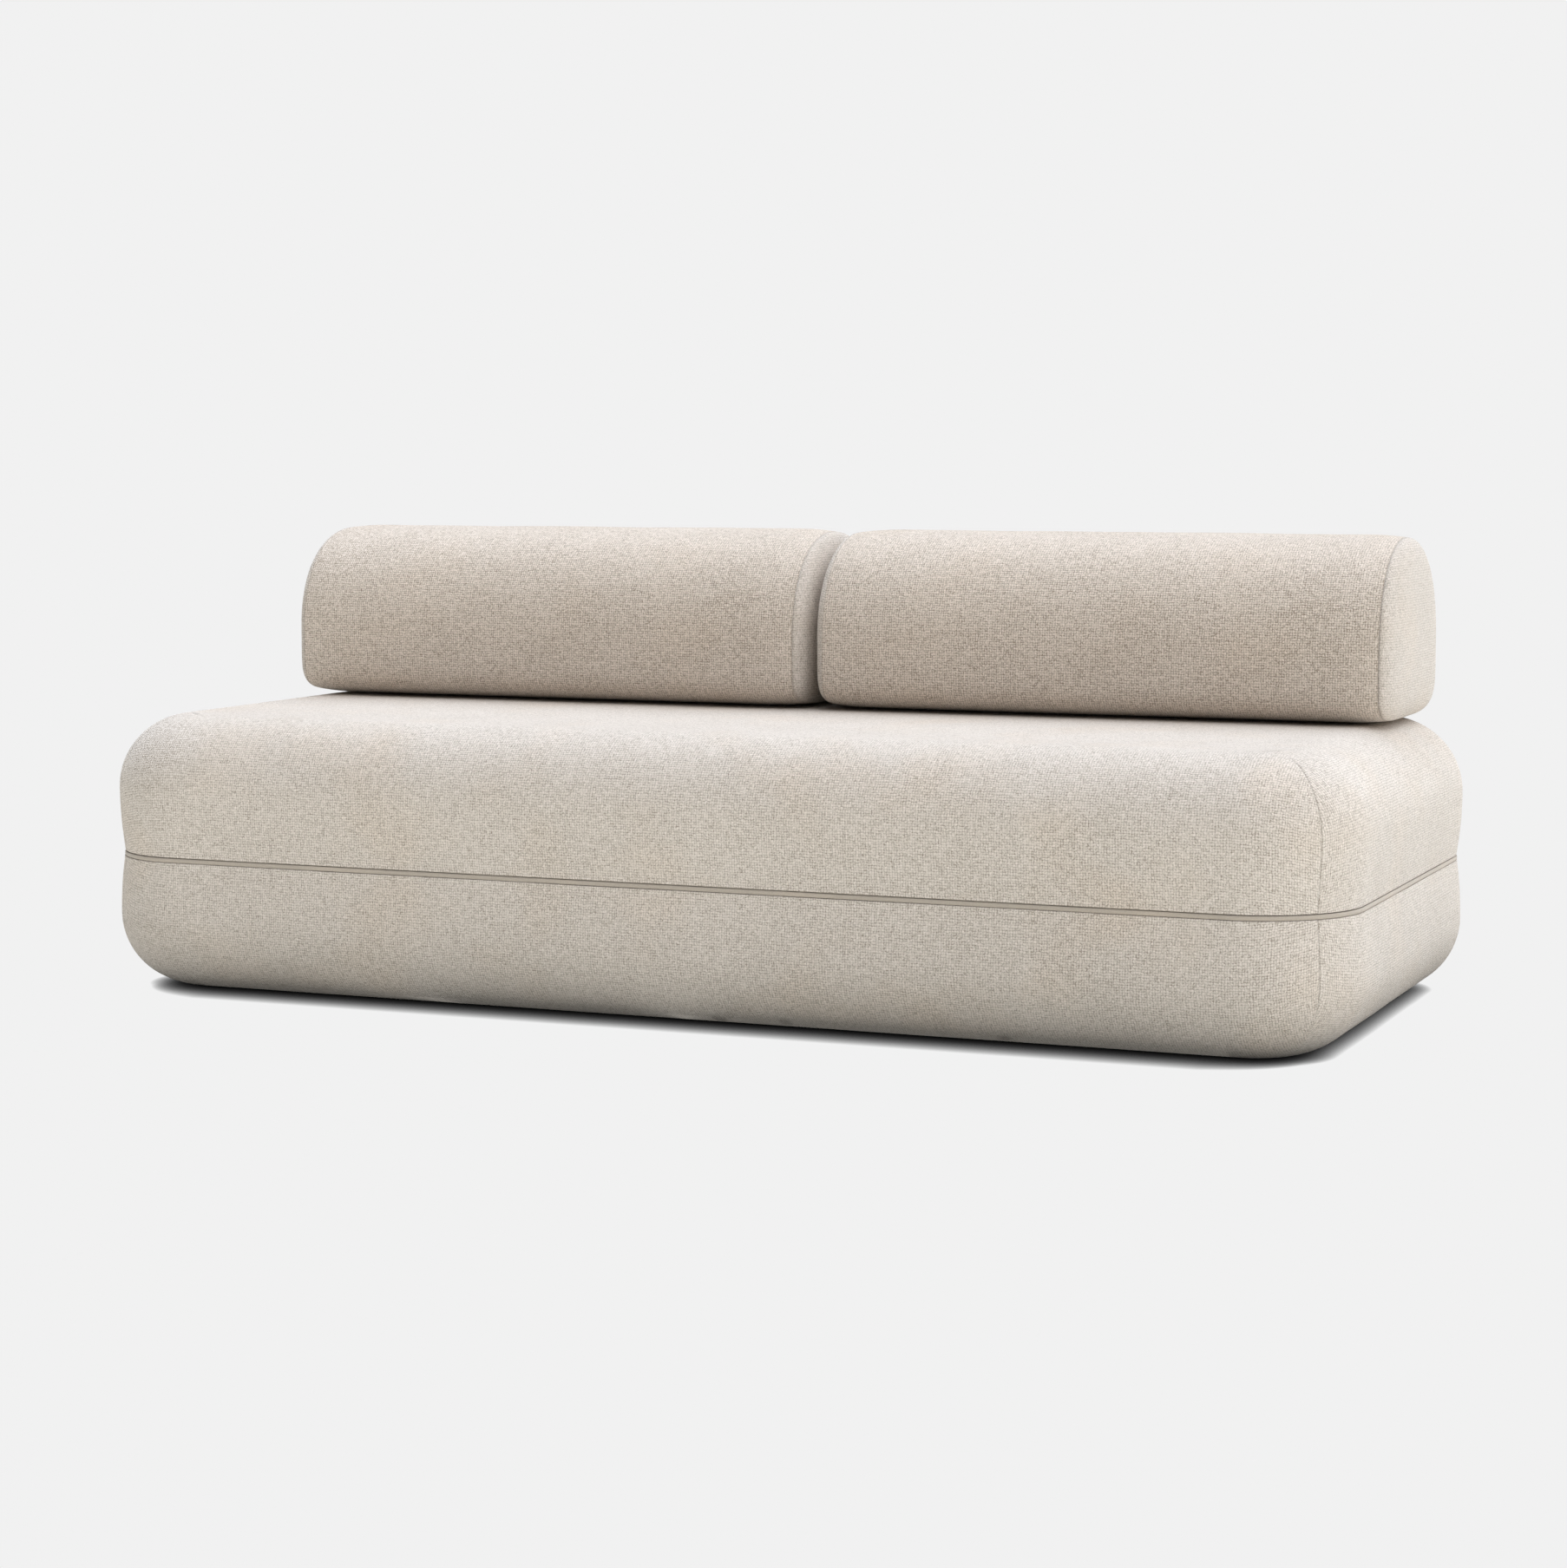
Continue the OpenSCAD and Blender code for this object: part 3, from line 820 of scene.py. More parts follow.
@dataclass(frozen=True)
class PlanColumns:
    """The columns of points around a block, as seen from above."""

    sizes: BlockSizes
    spacing: float
    corner_steps: int
    dart: bool = False
    dart_lean: float = math.radians(3.1)
    dart_steps: tuple[float, ...] = (0.0008, 0.0017, 0.003, 0.005, 0.008, 0.0125)
    dart_spread: float = 1.35

    def places(self) -> tuple[Array, Array, Array, Array]:
        """Lay out the columns anticlockwise from the front left.

        Returns:
            The anchor of each column, the angle it faces, its angle from the nearest
            corner's middle, and the number of the side that starts at its right.
        """
        half_x = self.sizes.width / 2 - self.sizes.corner
        half_y = self.sizes.depth / 2 - self.sizes.corner
        corners = [(half_x, -half_y), (half_x, half_y), (-half_x, half_y), (-half_x, -half_y)]
        turns = self.corner_turns()
        anchors, angles, offsets, sides = [], [], [], []
        before = (-half_x, -half_y)
        for side, corner in enumerate(corners):
            facing = -math.pi / 2 + side * math.pi / 2
            run = math.dist(before, corner)
            steps = max(1, round(run / self.spacing))
            for k in range(1, steps):
                share = k / steps
                anchors.append([before[i] + (corner[i] - before[i]) * share for i in (0, 1)])
                angles.append(facing)
                offsets.append(math.pi)
                sides.append(side)
            for turn in turns:
                anchors.append(corner)
                lean = self.dart_lean * math.cos(2 * turn) * (-1) ** side
                angles.append(facing + math.pi / 4 + turn + lean)
                offsets.append(turn)
                sides.append(side if turn < -TINY else (side + 1) % 4)
            before = corner
        return np.array(anchors), np.array(angles), np.array(offsets), np.array(sides)

    def corner_turns(self) -> list[float]:
        """Angles from a corner's middle, closer together beside a dart."""
        quarter = math.pi / 4
        even = [quarter * k / self.corner_steps for k in range(1, self.corner_steps + 1)]
        if self.dart:
            close = [step / self.sizes.corner for step in self.dart_steps]
            even = close + [turn for turn in even if turn > close[-1] * self.dart_spread]
        return [-t for t in reversed(even)] + [0.0] + even


@dataclass(frozen=True)
class Profile:
    """The side of a block as [inset, height] pairs, starting at the outer face."""

    inset: Array
    height: Array
    along: Array

    @classmethod
    def of(cls, pairs: list[tuple[float, float]]) -> Profile:
        """Measure along a list of pairs."""
        path = np.array(pairs, float)
        return cls(path[:, 0], path[:, 1], run_along(path))

    def normals(self) -> tuple[Array, Array]:
        """The outward direction at each pair, as its part along the plan and its part up."""
        inset = np.gradient(self.inset)
        height = np.gradient(self.height)
        size = np.maximum(np.hypot(inset, height), TINY)
        return height / size, inset / size


@dataclass
class FoamBlock:
    """One foam block with its cover, sleeping face and hidden layers."""

    turn: Turn
    sizes: BlockSizes = field(default_factory=BlockSizes)
    spacing: float = 0.012
    groove: float = 0.0008
    seam_shade: float = 0.6
    dip: float = 0.0006
    groove_half: float = 0.0013
    dip_half: float = 0.015
    rim_share: float = 0.2
    rim_fade: float = 0.012
    undulation: float = 0.0008
    wave_lengths: tuple[float, float] = (0.23, 0.09)
    edge_calm: float = 0.06
    rim_calm: float = 0.03
    proud: float = 0.00015
    pucker: float = 0.0003
    pucker_away: float = 0.006
    pucker_length: float = 0.017
    hem: float = 0.00018
    hem_away: float = 0.014
    hem_half: float = 0.008
    hem_length: float = 0.02
    face_wave: float = 0.0004
    face_length: float = 0.21
    face_calm: float = 0.08
    face_lift: float = 0.6
    face_seed: float = 8.0
    least_radius: float = 0.001
    rim_steps: tuple[float, float] = (0.004, 0.002)
    ledge_rise: tuple[float, float] = (0.0002, 0.0003)
    ledge_round: float = 0.0012
    last_step: float = 0.0008
    edge_turns: int = 22
    side_steps: int = 12
    lip_turns: int = 6
    corner_steps: int = 12
    flat_corner_steps: int = 8
    hidden_spacing: float = 0.04
    hidden_corner_steps: int = 6
    hidden_edge_turns: int = 10
    hidden_side_steps: int = 5
    piping_turns: int = 16
    piping_squash: float = 0.45
    underside_spacing: float = 0.03

    @property
    def body(self) -> str:
        """The CAD body that the block is."""
        return self.turn.value

    @property
    def piped(self) -> bool:
        """Only the lower block has piping."""
        return self.turn is Turn.BASE

    @property
    def rim_height(self) -> float:
        """Height in the block where its side meets the rim."""
        return self.sizes.side_top(True) if self.piped else self.sizes.body - self.sizes.lip

    @property
    def dart_fade(self) -> tuple[float, float]:
        """Share of the soft edge where the darts begin, and over which they deepen."""
        return (0.62, 0.35) if self.turn is Turn.BASE else (0.1, 0.2)

    def lift(self, height: Array) -> Array:
        """Turn a height in the block into a height above the floor."""
        low = self.sizes.floor_clear + height
        return low if self.turn is Turn.BASE else 2 * self.sizes.fold_height - low

    def soft_edge(self, depth: float, steps: int) -> list[tuple[float, float]]:
        """Round the outer edge, at a depth below the surface."""
        s = self.sizes
        radius = s.edge - depth
        turns = np.linspace(0, math.pi / 2, steps + 1)
        return [(s.edge - radius * math.sin(t), s.edge - radius * math.cos(t)) for t in turns]

    def side(self, depth: float, top: float, steps: int) -> list[tuple[float, float]]:
        """Swell the side from the soft edge to a height."""
        s = self.sizes
        heights = np.linspace(s.edge, top, steps + 1)[1:]
        return [(depth + s.swell(h), h) for h in heights]

    def outer(self, depth: float = 0.0) -> Profile:
        """The cover's profile from the outer face to the sleeping face."""
        s = self.sizes
        top = self.rim_height
        pairs = self.soft_edge(depth, self.edge_turns)
        pairs += self.side(depth, top - self.rim_steps[0], self.side_steps)
        pairs += [(depth + s.swell(h), h) for h in (top - self.rim_steps[1], top)]
        start = pairs[-1][0]
        if self.piped:
            wall = s.crown + s.rebate + depth
            pairs += [(start + self.ledge_round, top + self.ledge_rise[0]),
                      (wall - self.last_step, top + self.ledge_rise[1]),
                      (wall, top + self.ledge_round), (wall, s.body)]
        else:
            for turn in np.linspace(0, math.pi / 2, self.lip_turns + 1)[1:]:
                pairs.append((start + s.lip * (1 - math.cos(turn)),
                              top + (s.lip + s.sag) * math.sin(turn)))
            pairs += [(start + s.lip + self.last_step, s.body), (s.crown + s.crisp, s.body)]
        return Profile.of(pairs)

    def cloth_places(self, columns: tuple[Array, ...], profile: Profile, side: int) -> Array:
        """Lay the cover out flat for one side of the block.

        Args:
            columns: The columns of points around the block.
            profile: The side's profile.
            side: Which side the cloth belongs to, anticlockwise from the front.

        Returns:
            Cloth coordinates as rows by columns by two.
        """
        anchors, angles, _, _ = columns
        facing = -math.pi / 2 + side * math.pi / 2
        out = np.array([math.cos(facing), math.sin(facing)])
        along = np.array([-out[1], out[0]])
        turn = (angles - facing + math.pi) % (2 * math.pi) - math.pi
        s = self.sizes
        radius = (s.corner - profile.inset)[:, None]
        flatness = 1 - ease(profile.along / (s.edge * math.pi / 2))[:, None]
        sideways = anchors @ along + radius * (flatness * np.sin(turn) + (1 - flatness) * turn)
        start = s.corner - profile.inset[0]
        outward = anchors @ out + start * np.cos(turn) + profile.along[:, None]
        return sideways[..., None] * along + outward[..., None] * out

    def cover_skin(self, draft: MeshDraft, columns: tuple[Array, ...], profile: Profile,
                   shaped: bool) -> None:
        """Add the sides of a skin around the block.

        Args:
            draft: Where the faces go.
            columns: The columns of points around the block.
            profile: The side's profile.
            shaped: Whether darts, puckers and undulations are pressed in.
        """
        anchors, angles, offsets, sides = columns
        direction = np.stack([np.cos(angles), np.sin(angles)], -1)
        radius = (self.sizes.corner - profile.inset)[:, None, None]
        flat = anchors[None] + direction[None] * radius
        points = with_rows(flat, profile.height)
        seam = np.zeros(points.shape[:2])
        if shaped:
            press, seam = self.pressing(points, profile, offsets)
            plan_part, up_part = profile.normals()
            normal = with_rows(direction[None] * plan_part[:, None, None], up_part)
            points = points + normal * press[..., None]
        points[..., 2] = self.lift(points[..., 2])
        left = np.zeros((*points.shape[:2], 2))
        right = np.zeros_like(left)
        for side in range(4):
            cloth = self.cloth_places(columns, profile, side)
            starts = sides == side
            left[:, starts] = cloth[:, starts]
            ends = np.roll(starts, 1)
            right[:, ends] = cloth[:, ends]
        draft.grid(points, left, right, closed=True, seam=seam)

    def pressing(self, points: Array, profile: Profile, offsets: Array) -> tuple[Array, Array]:
        """Work out how far the cloth is pressed in or stands proud.

        Args:
            points: The skin's points before pressing.
            profile: The side's profile.
            offsets: Each column's angle from the middle of its corner.

        Returns:
            The movement along the outward direction, and the painted seam shade.
        """
        s = self.sizes
        edge_run = s.edge * math.pi / 2
        radius = np.maximum(s.corner - profile.inset, self.least_radius)[:, None]
        away = np.abs(offsets)[None] * radius
        start, run = self.dart_fade
        fade = ease((profile.along / edge_run - start) / run)[:, None]
        line = bell(away, self.groove_half)
        below_rim = ease((self.rim_height - profile.height) / self.rim_fade)[:, None]
        deep = self.rim_share + (1 - self.rim_share) * below_rim
        press = -fade * deep * (self.groove * line + self.dip * bell(away, self.dip_half))
        seed = 1.0 if self.piped else 2.0
        wave = undulating(points, self.wave_lengths, (seed, seed + 3))
        rim = profile.along[-1] - profile.along
        calm = ease(rim / self.rim_calm)[:, None] * ease(profile.along / self.edge_calm)[:, None]
        press = press + self.undulation * (wave - 0.5) * calm
        ripple = np.sin(profile.along * 2 * math.pi / self.pucker_length)[:, None]
        near = bell(away - self.pucker_away, self.pucker_away) * fade
        press = press + self.pucker * near * ripple
        hem = bell(rim - self.hem_away, self.hem_half)[:, None]
        press = press + self.hem * hem * gentle(points, self.hem_length, seed + 5)
        place = points - [0, s.depth / 2, s.zip_band(self.piped)[1]]
        press = ZipBed().calm(np.minimum(press, self.proud), place, s.zip)
        return press, self.seam_shade * fade * line

    def plate(self, draft: MeshDraft, columns: PlanColumns, inset: float, height: float,
              waves: float = 0.0) -> None:
        """Fill the inside of a ring at one height.

        Args:
            draft: Where the faces go.
            columns: The layout that the ring has.
            inset: Inset of the ring's outline.
            height: Height in the block.
            waves: Height of slight waves towards the middle.
        """
        s = self.sizes
        anchors, angles, _, _ = columns.places()
        direction = np.stack([np.cos(angles), np.sin(angles)], -1)
        rings = np.linspace(inset, s.corner, max(2, round((s.corner - inset) / self.spacing) + 1))
        flat = anchors[None] + direction[None] * (s.corner - rings)[:, None, None]
        draft.grid(self.floor_points(flat, height, waves), flat, closed=True)
        half = np.array([s.width / 2 - s.corner, s.depth / 2 - s.corner])
        steps = [max(1, round(2 * h / columns.spacing)) for h in half]
        x = np.linspace(-half[0], half[0], steps[0] + 1)
        y = np.linspace(-half[1], half[1], steps[1] + 1)
        grid = np.stack(np.meshgrid(x, y), -1)
        draft.grid(self.floor_points(grid, height, waves), grid)

    def floor_points(self, flat: Array, height: float, waves: float) -> Array:
        """Set flat points at a height, with slight waves where asked."""
        level = np.full(flat.shape[:-1], height)
        points = np.concatenate([flat, level[..., None]], -1)
        if waves:
            s = self.sizes
            inside = np.minimum(s.width / 2 - np.abs(flat[..., 0]),
                                s.depth / 2 - np.abs(flat[..., 1]))
            calm = ease((inside - s.edge) / self.face_calm)
            wave = gentle(points, self.face_length, self.face_seed) + self.face_lift
            points[..., 2] += waves * wave * calm
        points[..., 2] = self.lift(points[..., 2])
        return points

    def cover(self) -> bpy.types.Object:
        """Make the woven cover with its four corner darts."""
        columns = PlanColumns(self.sizes, self.spacing, self.corner_steps, dart=True)
        profile = self.outer()
        draft = MeshDraft()
        self.cover_skin(draft, columns.places(), profile, shaped=True)
        self.plate(draft, columns, self.sizes.edge, 0.0, waves=self.face_wave)
        piece = draft.build(f"{self.body}_cover_cloth", thickness=self.sizes.fabric)
        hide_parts(f"{self.body}_cover")
        return Finishes.COVER.dress(piece)

    def sleeping_face(self) -> bpy.types.Object:
        """Make the flat panel that is slept on, hidden while the sofa is folded."""
        s = self.sizes
        columns = PlanColumns(s, self.spacing, self.flat_corner_steps)
        opening = s.crown + (s.rebate + s.fabric if self.piped else s.crisp) + s.rest_gap
        draft = MeshDraft()
        self.plate(draft, columns, opening, s.body)
        piece = draft.build(f"{self.body}_sleeping_cloth", thickness=s.fabric)
        self.face_outward(piece)
        area = (s.width - 2 * opening) * (s.depth - 2 * opening)
        area -= (4 - math.pi) * (s.corner - opening) ** 2
        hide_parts(f"{self.body}_sleep_panel")
        return Finishes.SLEEP.dress(piece)

    def face_outward(self, piece: bpy.types.Object) -> None:
        """Turn a flat skin so that its thickness goes into the block."""
        outward = 1 if self.turn is Turn.BASE else -1
        if piece.data.polygons[0].normal.z * outward < 0:
            piece.data.flip_normals()

    def layer(self, name: str, pairs: list[tuple[float, float]]) -> bpy.types.Object:
        """Make a closed hidden layer from its profile.

        Args:
            name: Name of the piece.
            pairs: Its [inset, height] pairs, flat across at both ends.

        Returns:
            The layer.
        """
        columns = PlanColumns(self.sizes, self.hidden_spacing, self.hidden_corner_steps)
        profile = Profile.of(pairs)
        draft = MeshDraft()
        self.cover_skin(draft, columns.places(), profile, shaped=False)
        self.plate(draft, columns, pairs[0][0], pairs[0][1])
        self.plate(draft, columns, pairs[-1][0], pairs[-1][1])
        return draft.build(name)

    def hidden_layers(self) -> list[bpy.types.Object]:
        """Make the wadding and the two foams inside the cover."""
        s = self.sizes
        out = s.fabric + s.layer_gap
        inside = out + s.wadding
        foam = inside + s.layer_gap
        top = s.body - s.fabric - s.layer_gap
        base = top - s.comfort
        wall = s.crown + s.rebate + out
        wadding = self.soft_edge(out, self.hidden_edge_turns)
        wadding += self.side(out, s.side_top(True) - out, self.hidden_side_steps)
        wadding += [(wall, s.side_top(True) - out), (wall, top)]
        inner = self.soft_edge(inside, self.hidden_edge_turns) + [(s.crown + inside, top)]
        wadding += list(reversed(inner))
        support_top = base - s.layer_gap
        lean = s.crown * (support_top - s.edge) / (top - s.edge)
        support = self.soft_edge(foam, self.hidden_edge_turns) + [(foam + lean, support_top)]
        comfort = [(foam + s.crown, base), (foam + s.crown, top)]
        made = []
        for pairs, node, finish in ((wadding, "wadding", Finishes.WADDING),
                                    (support, "support_foam", Finishes.SUPPORT),
                                    (comfort, "comfort_foam", Finishes.COMFORT)):
            piece = self.layer(f"{self.body}_{node}_fill", pairs)
            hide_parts(f"{self.body}_{node}")
            made.append(finish.dress(piece))
        return made

    def piping_tube(self) -> bpy.types.Object:
        """Make the cloth covered piping around the lower block."""
        s = self.sizes
        anchors, angles, _, _ = PlanColumns(s, self.spacing, self.corner_steps).places()
        direction = np.stack([np.cos(angles), np.sin(angles)], -1)
        radius = s.piping / 2
        turns = np.linspace(0, 2 * math.pi, self.piping_turns + 1)
        squash = np.maximum(np.abs(np.cos(turns)), np.abs(np.sin(turns))) ** -self.piping_squash
        inset = s.crown + radius - radius * np.clip(squash * np.cos(turns), -1, 1)
        height = s.body - radius + radius * np.clip(squash * np.sin(turns), -1, 1)
        flat = anchors[None] + direction[None] * (s.corner - inset)[:, None, None]
        points = with_rows(flat, self.lift(height))
        before = run_along(np.concatenate([points[0], points[0][:1]]))
        round_it = (turns * radius)[:, None]
        left = np.stack(np.broadcast_arrays(before[:-1][None], round_it), -1)
        right = np.stack(np.broadcast_arrays(np.roll(before[1:], 1)[None], round_it), -1)
        draft = MeshDraft()
        draft.grid(points, left, right, closed=True)
        piece = draft.build("base_piping_tube")
        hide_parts("base_piping")
        return Finishes.PIPING.dress(piece)

    def underside(self) -> bpy.types.Object:
        """Make the non slip cloth that the lower block stands on."""
        s = self.sizes
        columns = PlanColumns(s, self.underside_spacing, self.flat_corner_steps)
        inset = s.edge + s.underside_margin
        draft = MeshDraft()
        self.plate(draft, columns, inset, s.underside - s.floor_clear)
        piece = draft.build("base_underside_sheet", thickness=s.underside)
        self.face_outward(piece)
        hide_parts("base_underside_cloth")
        return Finishes.UNDERSIDE.dress(piece)

    def make(self) -> list[bpy.types.Object]:
        """Make every piece of the block and let it ride on its body.

        Returns:
            The pieces.
        """
        made = [self.cover(), self.sleeping_face(), *self.hidden_layers()]
        if self.piped:
            made += [self.piping_tube(), self.underside()]
        for piece in made:
            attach(piece, self.body)
        return made


@dataclass
class FoldHinge:
    """The textile strip folded between the two blocks along their front edge."""

    thickness: float = 0.0008
    cloth: float = 0.0004
    slot: float = 0.0002
    leaf: float = 0.070
    setback: float = 0.009
    nose_turns: int = 48
    leaf_steps: int = 14
    long_steps: int = 140
    sizes: BlockSizes = field(default_factory=BlockSizes)

    def make(self) -> list[bpy.types.Object]:
        """Make the strip, folded round its nose between the blocks.

        Returns:
            The strip.
        """
        s = self.sizes
        outer = self.thickness + self.slot / 2
        fold = self.setback + outer - s.depth / 2
        turns = np.linspace(math.pi / 2, 3 * math.pi / 2, self.nose_turns + 1)
        run = np.linspace(self.leaf, 0, self.leaf_steps + 1)[:-1]
        path = [(fold + x, outer) for x in run]
        path += [(fold + outer * math.cos(t), outer * math.sin(t)) for t in turns]
        path += [(fold + x, -outer) for x in reversed(run)]
        path = np.array(path)
        steps = np.linalg.norm(np.diff(path, axis=0), axis=1)
        steps[len(run):len(run) + len(turns) - 1] *= self.setback / outer
        along = np.concatenate([[0.0], np.cumsum(steps)])
        half = s.width / 2 - s.corner
        x = np.linspace(-half, half, self.long_steps + 1)
        rows, columns = len(path), len(x)
        points = np.zeros((rows, columns, 3))
        points[..., 0] = x[None]
        points[..., 1] = path[:, 0, None]
        points[..., 2] = s.fold_height + path[:, 1, None]
        cloth = np.stack(np.broadcast_arrays(x[None], along[:, None]), -1)
        draft = MeshDraft()
        draft.grid(points, cloth)
        piece = draft.build("fold_hinge_webbing", thickness=self.cloth)
        nose = piece.data.polygons[(len(run) + len(turns) // 2) * (columns - 1)]
        if nose.normal.y > 0:
            piece.data.flip_normals()
        self.apply_thickness(piece)
        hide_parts("fold_hinge_strip")
        Finishes.WEBBING.dress(piece)
        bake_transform(piece)
        return [piece]

    @staticmethod
    def apply_thickness(piece: bpy.types.Object) -> None:
        """Make the thickness part of the mesh."""
        bpy.context.view_layer.update()
        graph = bpy.context.evaluated_depsgraph_get()
        solid = bpy.data.meshes.new_from_object(piece.evaluated_get(graph))
        piece.modifiers.clear()
        piece.data = solid


# The bolsters


class Hand(Enum):
    """Which of the two bolsters, as seen from the front."""

    LEFT = -1
    RIGHT = 1


@dataclass(frozen=True)
class BolsterSizes:
    """Sizes of one bolster, in metres."""

    length: float = 0.940
    zip: float = 0.7
    depth: float = 0.367
    height: float = 0.283
    waist: float = 0.095
    band: float = 0.028
    spacing: float = 0.004
    setback: float = 0.262
    dome: float = 0.024
    draw: float = 0.004
    draw_run: float = 0.070
    wadding: float = 0.012
    fabric: float = 0.0015
    layer_gap: float = 0.0004
    rest_gap: float = 0.0003
    base: float = 0.4305
    upper_round: float = 2.2
    lower_round: float = 4.6
    dome_square: int = 5
    dome_round: float = 0.52
    cut: float = 0.001
    cut_soft: float = 0.0012
    mat: Triple = (0.780, 0.078, 0.0012)
    mat_corner: float = 0.012

    @property
    def half(self) -> float:
        """Distance from the middle to an end seam."""
        return self.length / 2 - self.dome


@dataclass
class Bolster:
    """A loose back bolster with a domed panel at each end."""

    hand: Hand
    sizes: BolsterSizes = field(default_factory=BolsterSizes)
    undulation: float = 0.0011
    wave_lengths: tuple[float, float] = (0.19, 0.07)
    rest_calm: float = 0.03
    end_calm: float = 0.05
    pucker: float = 0.0004
    pucker_start: float = 0.004
    pucker_run: float = 0.014
    pucker_length: float = 0.05
    puckers: int = 33
    groove: float = 0.0001
    groove_half: float = 0.0013
    seam_shade: float = 0.15
    panel_seam_share: float = 0.005
    dish: float = 0.0008
    dish_share: float = 1.6
    dish_length: float = 0.08
    draw_curve: float = 2.4
    round_steps: int = 128
    round_samples: int = 4000
    seam_steps: tuple[float, ...] = (0, 0.0006, 0.0013, 0.0022, 0.0034, 0.005, 0.0072, 0.010,
                                     0.014, 0.019, 0.025, 0.032, 0.040, 0.049)
    even_start: float = 0.058
    even_steps: int = 78
    panel_shares: tuple[float, ...] = (1.0, 0.997, 0.992, 0.985, 0.975)
    even_share: float = 0.96
    even_shares: int = 21
    hidden_round_steps: int = 60
    hidden_steps: int = 12
    hidden_shares: tuple[float, ...] = (0.9, 0.75, 0.5, 0.25, 0.0)
    mat_turns: int = 6
    wrap_seed: float = 11.0
    panel_seed: float = 21.0

    @property
    def body(self) -> str:
        """The CAD body that the bolster is."""
        return f"{self.hand.name.lower()}_bolster"

    @property
    def middle(self) -> Array:
        """Where the bolster's own origin stands."""
        s = self.sizes
        return np.array([self.hand.value * (s.length + s.spacing) / 2, s.setback, s.base])

    def section(self, inset: Array | float, angle: Array) -> tuple[Array, Array]:
        """The rounded section, flat where it rests.

        Args:
            inset: How far it is drawn in.
            angle: Angles around the section, from the back over the top.

        Returns:
            Places from front to back, and heights above the base.
        """
        s = self.sizes
        upper = np.sin(angle) >= 0
        power = np.where(upper, 2 / s.upper_round, 2 / s.lower_round)
        rise = np.where(upper, s.height - s.waist - s.band / 2, s.waist - s.band / 2 + s.cut)
        level = np.where(upper, s.waist + s.band / 2, s.waist - s.band / 2)
        deep = (s.depth / 2 - inset) * signed_power(np.cos(angle), power)
        high = level + (rise - inset) * signed_power(np.sin(angle), power)
        soft = s.cut_soft
        return deep, 0.5 * (high + np.sqrt(high * high + soft * soft)) - soft / 2 * (high > 0)

    def angles(self) -> Array:
        """Angles that give about even steps around the section."""
        fine = np.linspace(0, 2 * math.pi, self.round_samples + 1)
        deep, high = self.section(0.0, fine)
        run = np.concatenate([[0.0], np.cumsum(np.hypot(np.diff(deep), np.diff(high)))])
        return np.interp(np.linspace(0, run[-1], self.round_steps + 1)[:-1], run, fine)

    def drawn(self, away: Array) -> Array:
        """How far the cover is drawn in, at a distance from its end seam."""
        share = np.clip(away / self.sizes.draw_run, 0, 1)
        return self.sizes.draw * (1 - share) ** self.draw_curve

    def dome_rise(self, share: Array | float) -> Array | float:
        """How much of its height an end's dome has at a share of the way out to the seam."""
        return (1 - share ** self.sizes.dome_square) ** self.sizes.dome_round

    def stations(self) -> Array:
        """Places along the bolster, closer together near the end seams."""
        near = self.sizes.half - np.array(self.seam_steps)
        reach = self.sizes.half - self.even_start
        return np.concatenate([-near, np.linspace(-reach, reach, self.even_steps + 1), near[::-1]])

    def wrap(self) -> bpy.types.Object:
        """Make the cloth around the bolster."""
        s = self.sizes
        x, angle = self.stations(), self.angles()
        away = s.half - np.abs(x)
        inset = self.drawn(away)
        rows = [np.stack([np.full_like(angle, place), *self.section(draw, angle)], -1)
                for place, draw in zip(x, inset)]
        points = np.array(rows)
        ring = points[len(x) // 2]
        around = run_along(np.concatenate([ring, ring[:1]]))
        outward = self.outward(points)
        points = points + outward * self.wrap_press(points, away)[..., None]
        left = np.stack(np.broadcast_arrays(x[:, None], around[:-1][None]), -1)
        right = np.stack(np.broadcast_arrays(x[:, None], np.roll(around[1:], 1)[None]), -1)
        mark = np.broadcast_to(self.seam_shade * bell(away, self.groove_half)[:, None],
                               points.shape[:2])
        draft = MeshDraft()
        draft.grid(points + self.middle, left, right, closed=True, seam=mark)
        piece = draft.build(f"{self.body}_wrap_cloth", thickness=s.fabric)
        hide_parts(f"{self.body}_cover")
        return Finishes.BOLSTER.dress(piece)

    @staticmethod
    def outward(points: Array) -> Array:
        """The outward direction at each point of a wrap, across the bolster's length."""
        tangent = np.roll(points, -1, 1) - np.roll(points, 1, 1)
        normal = np.stack([np.zeros(points.shape[:2]), tangent[..., 2], -tangent[..., 1]], -1)
        size = np.linalg.norm(normal, axis=-1, keepdims=True)
        return normal / np.maximum(size, TINY)

    def wrap_press(self, points: Array, away: Array) -> Array:
        """Undulations of the wrap, which die out where it rests on the mat.

        Args:
            points: The wrap's points before they move.
            away: Each row's distance from its end seam.

        Returns:
            The movement outward.
        """
        seed = self.wrap_seed + self.hand.value
        wave = undulating(points, self.wave_lengths, (seed, seed + 2))
        free = ease(points[..., 2] / self.rest_calm)
        press = self.undulation * wave * free * ease(away / self.end_calm)[:, None]
        near = (ease(away / self.pucker_start) * np.exp(-away / self.pucker_run))[:, None]
        around = np.arange(points.shape[1])[None] * 2 * math.pi
        ripple = np.sin(around * self.puckers / points.shape[1])
        ripple = ripple * gentle(points, self.pucker_length, seed + 4)
        groove = self.groove * bell(away, self.groove_half)[:, None]
        press = press + self.pucker * near * ripple * free - groove * free
        place = points - [0, self.sizes.depth / 2, self.sizes.waist]
        return ZipBed().calm(press, place, self.sizes.zip)

